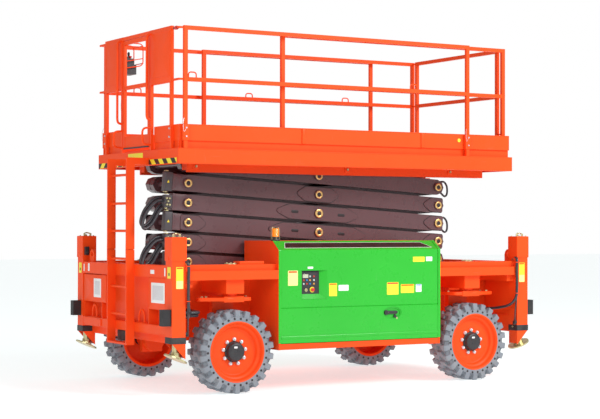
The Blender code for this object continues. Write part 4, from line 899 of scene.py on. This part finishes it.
def dress_leg(corner, end, side):
    """Band, hat lip, top fittings, valve block, bracket plates and hoses on one outrigger leg."""
    x, y = end * LEG_X, side * LEG_Y
    piece("leg_band_" + corner, "chassis", RUBBER, [square_sleeve((x, y), 0.0765, 0.0722, 0.517, 0.578)])
    piece("hat_lip_" + corner, "chassis", ORANGE, [
        block((x - 0.078, x + 0.078), (y - 0.078, y + 0.078), (HAT_TOP - 0.001, HAT_TOP + 0.004), 0.006,
              0.003, "Z"),
        block((x + end * 0.0795, x + end * 0.0835), (y - 0.012, y + 0.012), (1.33, 1.36), 0.004, 0.002, "X")])
    fittings = []
    for dx, dy, tall in ((-0.035, -0.02, 0.034), (0.0, 0.015, 0.020), (0.035, -0.02, 0.034),
                         (0.055, 0.05, 0.012),
                         (-0.055, 0.05, 0.012), (0.055, -0.058, 0.012), (-0.055, -0.058, 0.012)):
        fittings.append(hexagon((x + dx, y + dy, 0), 0.012 if tall > 0.015 else 0.007, HAT_TOP + 0.002,
                                HAT_TOP + tall, "Z"))
    fittings.append(tube(rounded_line([(x - 0.035, y - 0.02, HAT_TOP + 0.030),
                                       (x - 0.012, y, HAT_TOP + 0.038),
                                       (x + 0.012, y, HAT_TOP + 0.038),
                                       (x + 0.035, y - 0.02, HAT_TOP + 0.030)], 0.01),
                         0.007, 8))
    inboard_x, inside_y = x - end * LEG_HALF, y - side * (LEG_HALF + 0.0075)
    fittings += [hexagon((0, y, z), 0.011, inboard_x - end * 0.001, inboard_x - end * 0.012, "X")
                 for z in (0.56, 1.30)]
    piece("leg_fittings_" + corner, "chassis", ZINC, fittings)
    valve = [block((x + end * 0.015, x + end * 0.062), (inside_y + side * 0.002, inside_y - side * 0.034),
                   (1.345, 1.435)),
             disc((x + end * 0.038, 0, 1.375), 0.014, inside_y - side * 0.030, inside_y - side * 0.050),
             disc((x + end * 0.038, 0, 1.410), 0.010, inside_y - side * 0.030, inside_y - side * 0.046)]
    piece("leg_valve_" + corner, "chassis", PLASTIC, valve)
    lines, hose_y = [], side * 1.2035
    if end < 0:
        for count in range(2):
            z, y = 0.812 - 0.030 * count, 1.085 - 0.03 * count
            route = [(end * 2.030, side * (y - 0.015), z + 0.004), (end * 1.985, side * y, z),
                     (end * 1.900, side * (y + 0.012), z),
                     (end * 1.835, side * (y - 0.010), z), (end * 1.815, side * (y - 0.090), z),
                     (end * 1.812, side * 0.760, z + 0.01), (end * 1.812, side * 0.578, z + 0.01)]
            lines.append(tube(smooth_line(route, 8), 0.017, 12))
    route = [(end * 2.060, inside_y - side * 0.030, 1.345), (end * 2.030, side * 1.150, 1.322),
             (end * 2.006, hose_y, 1.285), (end * 2.004, hose_y, 1.150), (end * 2.006, hose_y, 1.000),
             (end * 1.998, hose_y - side * 0.010, 0.880), (end * 1.955, side * 1.130, 0.800),
             (end * 1.890, side * 0.980, 0.762), (end * 1.830, side * 0.780, 0.750),
             (end * 1.790, side * 0.578, 0.748)]
    lines.append(tube(smooth_line(route, 8), 0.015, 12, up=(0.2, 1, 0.1)))
    thin = [(end * 2.012, hose_y - side * 0.006, 0.900), (end * 2.004, side * 1.190, 0.820),
            (end * 1.998, side * 1.182, 0.720),
            (end * 1.998, side * 1.178, 0.640)]
    lines.append(tube(smooth_line(thin, 8), 0.007, 10, up=(0.2, 1, 0.1)))
    piece("leg_hoses_" + corner, "chassis", HOSE, lines, sharp=60)
    unions = [disc((end * 1.998, side * 1.178, 0), 0.010, 0.600, 0.650, "Z"),
              disc((end * 2.000, side * 1.165, 0), 0.018, 0.585, 0.605, "Z"),
              block((end * 1.990, end * 2.024), (side * 1.150, side * 1.182), (0.600, 0.628))]
    piece("hose_ends_" + corner, "chassis", PLASTIC, unions)
    clips = [block((end * 1.985, end * 2.030), (side * 1.180, side * 1.2235), (z, z + 0.008)) for z in (0.925,
        1.265)]
    clips += [block((x - end * 0.02, x + end * 0.066), (inside_y + side * 0.010, inside_y + side * 0.002),
                    (1.335, 1.445))]
    piece("hose_clips_" + corner, "chassis", ORANGE, clips)


for corner, end, side in CORNERS:
    dress_leg(corner, end, side)
    end_sticker("leg_mark_" + corner, "chassis", YELLOW, end, (side * 1.075, side * 1.150), (1.150, 1.262),
                end * LEG_OUT)
    end_sticker("leg_mark_print_" + corner, "chassis", INK_AND_PAINTED_SHADE, end, (side * 1.100, side * 1.125), (1.175, 1.205),
                end * (LEG_OUT + 0.0006))
    end_sticker("frame_mark_" + corner, "chassis", WHITE, end, (side * 1.000, side * 1.025), (1.170, 1.250),
                end * FRAME_FACE)
    sticker("leg_side_mark_" + corner, "chassis", YELLOW, side, (end * 2.050, end * 2.128), (1.050, 1.262),
            side * LEG_FACE)
    sticker("leg_side_head_" + corner, "chassis", ORANGE, side, (end * 2.056, end * 2.122), (1.244, 1.257),
            side * (LEG_FACE + 0.0006))
    sticker("leg_side_line_" + corner, "chassis", CREAM_YELLOW, side, (end * 2.053, end * 2.125),
            (1.052, 1.128),
            side * (LEG_FACE + 0.0006))


def hooked_loop(end, y, width):
    """A lashing hook: a bent bar that rises off the lower beam and comes back."""
    x = end * 2.128
    line = rounded_line([(x, y - width, 0.676), (x, y - width, 0.765), (x, y - width * 0.45, 0.812),
                         (x, y, 0.818),
                         (x, y + width * 0.45, 0.812), (x, y + width, 0.765), (x, y + width, 0.676)], 0.05)
    return tube(line, 0.012, 12, up=(1, 0, 0))


def eye_plate(end, y):
    """A lifting eye: a rounded lug with a hole, standing on the upper beam."""
    angles = np.linspace(0, 2 * np.pi, 40, endpoint=False)
    lug = ring_plate(oval((y, 1.335), (0.062, 0.072), angles), oval((y, 1.355), (0.026, 0.028), angles), "X",
                     end * 2.100, end * 2.124)
    foot = block((end * 2.098, end * 2.126), (y - 0.060, y + 0.060), (1.268, 1.325), 0.01, 0.003, "X")
    return [lug, foot]


for label, end in ENDS.items():
    near_hook = -0.80 if end > 0 else -0.40
    hooks = [hooked_loop(end, 0.80, 0.055), hooked_loop(end, near_hook, 0.065)]
    hooks += [block((end * 2.10, end * 2.155), (y - 0.09, y + 0.09), (0.678, 0.690), 0.01, 0.004,
                    "Z") for y in (0.80, near_hook)]
    piece("lashing_hooks_" + label, "chassis", ORANGE, hooks)
    eyes = eye_plate(end, 0.90) + (eye_plate(end, -0.92) if end > 0 else [])
    piece("lifting_eyes_" + label, "chassis", ORANGE, eyes)
    lips = [block((end * 2.062, end * FRAME_FACE), (-1.036, 1.036), (z, z + 0.004), 0.006, 0.002, "Z")
            for z in (1.2695, 0.6795)]
    lips += [block((end * 2.1665, end * 2.1685), (-1.035, 1.035), (z, z + 0.006), 0.003, 0.001, "X")
             for z in (1.152, 1.263, 0.592, 0.672)]
    piece("beam_edges_" + label, "chassis", ORANGE, lips)
    piece("corner_panel_" + label, "chassis", ORANGE,
          [block((end * 2.150, end * OUTER_PANEL), (-1.035, -0.640), (0.835, 1.148), 0.01, 0.003, "X")])
    for name, y, face in (("near", (-1.000, -0.690), OUTER_PANEL),
                          ("far", (0.560, 0.755), OUTER_PANEL if end < 0 else SET_BACK)):
        end_sticker(f"data_plate_{label}_{name}", "chassis", WHITE, end, y, (0.900, 1.100), end * face)
        end_sticker(f"data_print_{label}_{name}", "chassis", PALE_PRINT, end, (y[0] + 0.03, y[1] - 0.03),
                    (0.930, 1.072),
                    end * (face + 0.0006))
    if end < 0:
        end_sticker("round_mark_plate", "chassis", WHITE, end, (-0.770, -0.680), (1.186, 1.226), -FRAME_FACE)
        end_sticker("far_mark_plate", "chassis", WHITE, end, (0.860, 0.905), (1.175, 1.258), -FRAME_FACE)
piece("ladder_splice", "chassis", ORANGE,
      [block((-2.256, -2.168), (y, y + 0.006), (1.350, 1.480), 0.008, 0.002) for y in (-0.2795, 0.1905)])
piece("corner_panel_far", "chassis", ORANGE,
      [block((-2.150, -OUTER_PANEL), (0.430, 1.030), (0.850, 1.140), 0.01, 0.003, "X")])
piece("ladder_foot_block", "chassis", RUBBER, [block((-2.150, -2.120), (-0.040, 0.160), (0.478, 0.585), 0.01,
                                                     0.004, "X")])

# ---------------------------------------------------------------- doors' edges, yokes and right-hand hoses
for label, side in SIDES.items():
    for name, end in ENDS.items():
        line = rounded_line([(end * 0.975, side * 1.1890, 0.482), (end * 0.975, side * 1.1890, 1.421),
                             (end * 0.975, side * 1.0640, 1.5125)], 0.01, 4)
        strip = [(-0.0013, -0.0145), (0.0013, -0.0145), (0.0013, 0.0145), (-0.0013, 0.0145)]
        piece(f"door_edge_{label}_{name}", "cabinet_door_" + label, GREEN,
              [carried(line, strip, up=(1, 0, 0))])
AXLE_X = 1.4525
for corner, end, side in CORNERS:
    x = end * AXLE_X
    outline = [(x - end * 0.27, side * 0.90), (x - end * 0.20, side * 1.10), (x + end * 0.10, side * 1.115),
               (x + end * 0.36, side * 1.02), (x + end * 0.34, side * 0.93), (x + end * 0.12, side * 0.84),
               (x - end * 0.20, side * 0.82)]
    yoke = [extruded(rounded_line(outline, 0.03, 5, ring=True), "Z", 0.915, 0.9495, 0.003),
            disc((x, side * 1.02, 0), 0.098, 0.9505, 0.9585, "Z", sides=36)]
    piece("yoke_plate_" + corner, "knuckle_" + corner, ORANGE, yoke)
    bolts = [hexagon((x + end * dx, side * dy, 0), 0.014, 0.949, 0.964, "Z") for dx,
             dy in ((0.30, 0.985), (0.235, 0.955), (-0.20, 0.97))]
    piece("yoke_bolts_" + corner, "knuckle_" + corner, ZINC, bolts)
    cap = [disc((x, side * 1.035, 0), 0.066, 1.2805, 1.290, "Z", sides=36)]
    cap += [hexagon((x + 0.045 * math.cos(a), side * 1.035 + 0.045 * math.sin(a), 0), 0.009, 1.290, 1.297,
                    "Z")
            for a in np.arange(6) * np.pi / 3]
    piece("king_pin_cap_" + corner, "chassis", ZINC, cap)
    if end < 0:
        box = [block((end * 1.400, end * 1.120), (side * 0.985, side * 1.125), (1.2805, 1.310), 0.008, 0.004,
                     "Z")]
        piece("corner_box_" + corner, "chassis", ORANGE, box)
for level in (4, 6):
    pin_z = LOWEST_PIN_Z + LEVEL_PITCH * (level - 1)
    route = [(RIGHT_PIN_X + 0.070, -0.375, pin_z + 0.062), (RIGHT_PIN_X + 0.125, -0.375, pin_z + 0.060),
             (RIGHT_PIN_X + 0.160, -0.378, pin_z + 0.010), (RIGHT_PIN_X + 0.162, -0.378, pin_z - 0.070),
             (RIGHT_PIN_X + 0.130, -0.375, pin_z - 0.100), (RIGHT_PIN_X + 0.075, -0.375, pin_z - 0.060)]
    line = smooth_line(route, 6)
    loop = piece(f"hose_loop_right_{level}", f"scissor_outer_{level}", HOSE,
                 [tube(line, 0.011, 12, up=(0, 1, 0))],
                 sharp=60)

# ---------------------------------------------------------------- platform
DECK_END, DECK_RIGHT, RAIL_TOP, MID_RAIL = -2.010, 2.105, 3.640, 3.130
STRIPE_PITCH = 0.19


def hazard_stripes(name, lean):
    """Black and yellow bars: the fractional part of (Y + lean * Z) / pitch, cut at one half."""
    made = coat(name, tint(246, 226, 50), 0.38, dust=0.05)
    tree = made.node_tree
    skin = tree.nodes["Principled BSDF"]
    axes = add(tree, "SeparateXYZ", {0: add(tree, "TexCoord").outputs["Object"]}).outputs
    slanted = add(tree, "Math", {0: axes["Z"], 1: lean, 2: axes["Y"]}, operation="MULTIPLY_ADD").outputs[0]
    turns = add(tree, "Math", {0: slanted, 1: 1 / STRIPE_PITCH}, operation="MULTIPLY").outputs[0]
    part = add(tree, "Math", {0: turns}, operation="FRACT").outputs[0]
    share = spread(tree, part, 0.49, 0.51)
    painted = skin.inputs["Base Color"].links[0].from_socket
    tree.links.new(mixed(tree, share, tint(30, 26, 28), painted), skin.inputs["Base Color"])
    return made


for name, lean, y in (("far", 1.0, (0.745, 0.984)), ("middle", 1.0, (0.345, 0.492)),
                      ("near", -1.0, (-0.945, -0.285))):
    piece("hazard_bar_" + name, "platform", hazard_stripes(name + " hazard stripes", lean),
          [block((DECK_END, DECK_END - 0.0010), y, (2.284, 2.336), 0.003, 0.0004, "X")])
    piece("hazard_bar_right_" + name, "platform", hazard_stripes(name + " right hazard stripes", lean),
          [block((DECK_RIGHT, DECK_RIGHT + 0.001), y, (2.284, 2.336), 0.003, 0.0004, "X")])
end_sticker("deck_plate_yellow", "platform", YELLOW, LEFT, (-0.155, 0.212), (2.345, 2.412), DECK_END)
piece("gate_strip", "entry_gate", PLASTIC, [block((DECK_END - 0.001, DECK_END + 0.004), (-0.290, 0.335),
                                                  (2.4655, 2.480), 0.004,
                                                  0.002, "X")])
panels, creases = [], []
for low, high in ((-0.815, -0.315), (0.365, 0.815)):
    panels.append(block((DECK_END + 0.002, DECK_END - 0.0025), (low, high), (3.100, 3.649), 0.018, 0.002,
                        "X"))
    for z in (3.150, 3.600):
        creases.append(block((DECK_END - 0.0020, DECK_END - 0.0050), (low + 0.03, high - 0.03),
                             (z, z + 0.007), 0.003, 0.0015, "X"))
    creases += [block((DECK_END - 0.0020, DECK_END - 0.0045), (y, y + 0.006), (3.165, 3.595), 0.003, 0.0015,
                      "X")
                for y in (low + 0.022, high - 0.028)]
piece("entry_sheets", "platform", ORANGE, panels + creases)
grabs = [tube(rounded_line([(DECK_END + 0.004, y, 3.615), (-2.052, y, 3.602), (-2.052, y, 2.750),
                            (DECK_END + 0.004, y, 2.738)],
                           0.05), 0.0125, 14, up=(0, 1, 0)) for y in (-0.335, 0.400)]
grabs += [tube(rounded_line([(DECK_END + 0.004, y, 2.662), (-2.100, y, 2.655), (-2.100, y, 2.492),
                             (DECK_END + 0.004, y, 2.485)],
                            0.05), 0.0105, 14, up=(0, 1, 0)) for y in (-0.335, 0.385)]
piece("grab_handles", "platform", ORANGE, grabs)
wires = [tube(rounded_line([(-1.985, y, 3.612), (-1.730, y, 3.606), (-1.730, y, 3.375), (-1.985, y, 3.330)],
                           0.05), 0.006, 10,
              up=(0, 1, 0)) for y in (0.455, 0.690)]
wires += [tube([(-1.730, 0.455, z), (-1.730, 0.690, z)], 0.005, 10) for z in (3.585, 3.400)]
wires += [tube([(-1.985, 0.455, 3.40), (-1.735, 0.455, 3.45)], 0.005, 10, up=(0, 1, 0))]
piece("control_cage", "platform", ORANGE, wires)
box_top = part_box("platform_control_box")[1][2]
knobs = [disc((-1.875, 0.540, 0), 0.018, box_top - 0.002, box_top + 0.022, "Z"),
         disc((-1.845, 0.610, 0), 0.010, box_top - 0.002, box_top + 0.012, "Z"),
         disc((-1.900, 0.610, 0), 0.010, box_top - 0.002, box_top + 0.012, "Z"),
         lathe([(0.012, 3.385), (0.010, 3.42), (0.008, 3.47), (0.013, 3.50), (0.014, 3.52), (0.008, 3.532)],
               (-1.815, 0.640, 0), "Z", 18)]
piece("box_controls", "platform", PLASTIC, knobs)
piece("box_stop_button", "platform", RED, [lathe([(0.010, 3.449), (0.010, 3.462), (0.018, 3.463),
                                                  (0.018, 3.474), (0.010, 3.479)],
                                                 (-1.845, 0.530, 0), "Z", 20)])
PIN_PLACE = (-1.995, 0, RAIL_TOP - 0.02)
pins = [lathe([(0.013, -0.850), (0.013, -0.925), (0.010, -0.950)], PIN_PLACE, "Y", 16)]
collars = [lathe([(0.016, -0.885), (0.020, -0.890), (0.020, -0.915), (0.014, -0.922)], PIN_PLACE, "Y", 16)]
sockets, lanyards = [], []
for side in (NEAR, FAR):
    for x in (-1.930, 1.500):
        face = side * 0.990
        sockets.append(block((x - 0.028, x + 0.028), (face, face + side * 0.006), (2.505, 2.665), 0.006,
                             0.002))
        sockets += [block((x + dx - 0.006, x + dx + 0.006), (face - side * 0.030, face + side * 0.005),
                          (2.505, 2.665), 0.004, 0.002)
                    for dx in (-0.027, 0.027)]
        lanyards += [hexagon((x, 0, z), 0.010, face + side * 0.005, face + side * 0.018) for z in (2.545,
                                                                                                   2.630)]
        lanyards.append(tube(smooth_line([(x, face + side * 0.012, 2.630),
                                          (x - 0.030, face + side * 0.016, 2.590),
                                          (x - 0.035, face + side * 0.010, 2.680),
                                          (x - 0.018, face - side * 0.004, 2.730)], 8),
                             0.0018, 6, up=(0, 1, 0)))
for y in (-0.800, 0.800):
    sockets.append(block((DECK_END - 0.006, DECK_END + 0.001), (y - 0.028, y + 0.028), (2.505, 2.665), 0.006,
                         0.002, "X"))
    lanyards += [hexagon((0, y, z), 0.010, DECK_END - 0.005, DECK_END - 0.018, "X") for z in (2.545, 2.630)]
piece("rail_pins", "platform", PLASTIC, pins)
piece("rail_pin_collars", "platform", RED, collars)
piece("post_sockets", "platform", ORANGE, sockets)
piece("post_pins", "platform", WHITE_ZINC, lanyards)
anchors = [tube(rounded_line([(x, side * 0.9725, MID_RAIL - 0.004), (x, side * 0.9725, MID_RAIL + 0.052),
                              (x + 0.085, side * 0.9725, MID_RAIL + 0.052),
                              (x + 0.085, side * 0.9725, MID_RAIL - 0.004)], 0.03),
                0.0065, 10, up=(0, 1, 0)) for side, x in ((NEAR, -1.895), (FAR, -1.60), (FAR, -0.20),
                                                          (FAR, 1.10), (NEAR, 0.75))]
piece("anchor_eyes", "platform", ORANGE, anchors)
stiffeners = [block((x - 0.020, x + 0.020), (side * 0.9540, side * 0.9650), (2.508, 2.668), 0.004, 0.002)
              for side in (NEAR, FAR) for x in (-0.565, 0.92)]
piece("toe_stiffeners", "platform", ORANGE, stiffeners)
piece("toe_end_disc", "platform", YELLOW, [disc((1.405, 0, 2.600), 0.020, -0.954, -0.957)])
edges = []
for side in (NEAR, FAR):
    edges += [block((-2.008, 2.103), (side * 0.9895, side * 0.9925), (z, z + 0.008), 0.003,
                    0.0012) for z in (2.276, 2.421)]
    edges.append(block((-1.978, 2.088), (side * 0.9545, side * 0.9575), (2.660, 2.668), 0.003, 0.0012))
piece("deck_edges", "platform", ORANGE, edges)
for side, label in ((NEAR, "near"), (FAR, "far")):
    lugs = [block((x - 0.03, x + 0.03), (side * 0.574, side * 0.584), (2.235, 2.300), 0.006,
                  0.003) for x in (-1.615, 0.2, 1.55)]
    piece("track_lugs_" + label, "platform", ORANGE, lugs)
    piece("track_bolts_" + label, "platform", ZINC, [hexagon((x, 0, 2.268), 0.015, side * 0.583, side * 0.598)
                                                     for x in (-1.615, 0.2, 1.55)])

# ---------------------------------------------------------------- stage, light and camera
SKY_LIGHT = 0.50
FLOOR_LIFT = 0.62                       # the floor gives back this much, so its shadow stays pale


def build_stage():
    """A pale floor, a white surround, broad soft lights, and the camera."""
    scene = bpy.context.scene
    mesh = bpy.data.meshes.new("floor")
    reach = 60.0
    mesh.from_pydata([(-reach, -reach, 0), (reach, -reach, 0), (reach, reach, 0), (-reach, reach, 0)], [],
                     [(0, 1, 2, 3)])
    floor = bpy.data.objects.new("floor", mesh)
    scene.collection.objects.link(floor)
    mesh.materials.append(coat("pale studio floor", (0.58, 0.66, 0.66, 1), 0.6, mottle=(0.3, 0.01),
                               ripple=(30.0, 0.01),
                               dust=0.0, marks=0.0, specular=0.1, glow=((1, 1, 1, 1), FLOOR_LIFT)))

    world = bpy.data.worlds.new("surround")
    scene.world = world
    world.use_nodes = True
    sky = world.node_tree.nodes["Background"]
    sky.inputs["Color"].default_value = (1.0, 1.0, 1.0, 1)
    seen = add(world.node_tree, "LightPath").outputs["Is Camera Ray"]
    world.node_tree.links.new(spread(world.node_tree, seen, 0.0, 1.0, SKY_LIGHT, 1.0), sky.inputs["Strength"])

    def lamp(name, place, aim, size, power):
        data = bpy.data.lights.new(name, "AREA")
        data.shape, data.size, data.energy = "DISK", size, power
        made = bpy.data.objects.new(name, data)
        scene.collection.objects.link(made)
        made.location = place
        heading = np.array(aim, float) - np.array(place, float)
        yaw = math.atan2(heading[1], heading[0])
        drop = math.atan2(math.hypot(heading[0], heading[1]), -heading[2])
        made.matrix_world = (Matrix.Translation(place) @ Matrix.Rotation(yaw - math.pi / 2, 4, "Z")
                             @ Matrix.Rotation(drop, 4, "X"))

    lamp("key", (5.5, -11.0, 9.0), (0, 0, 1.5), 6.0, 1350)
    lamp("fill", (-10.0, -9.0, 6.0), (0, 0, 1.5), 6.0, 350)

    camera = bpy.data.objects.new("camera", bpy.data.cameras.new("camera"))
    scene.collection.objects.link(camera)
    place, yaw, pitch, roll, focal = (-8.909, -15.133, 1.660), 0.52973, 0.01046, 0.00143, 1598.2
    camera.data.sensor_width = 36.0
    camera.data.lens = focal * 36.0 / 600
    camera.data.clip_end = 200
    camera.matrix_world = (Matrix.Translation(place) @ Matrix.Rotation(-yaw, 4, "Z")
                           @ Matrix.Rotation(math.pi / 2 + pitch, 4, "X") @ Matrix.Rotation(roll, 4, "Z"))
    scene.camera = camera
    scene.view_settings.view_transform = "Standard"


build_stage()
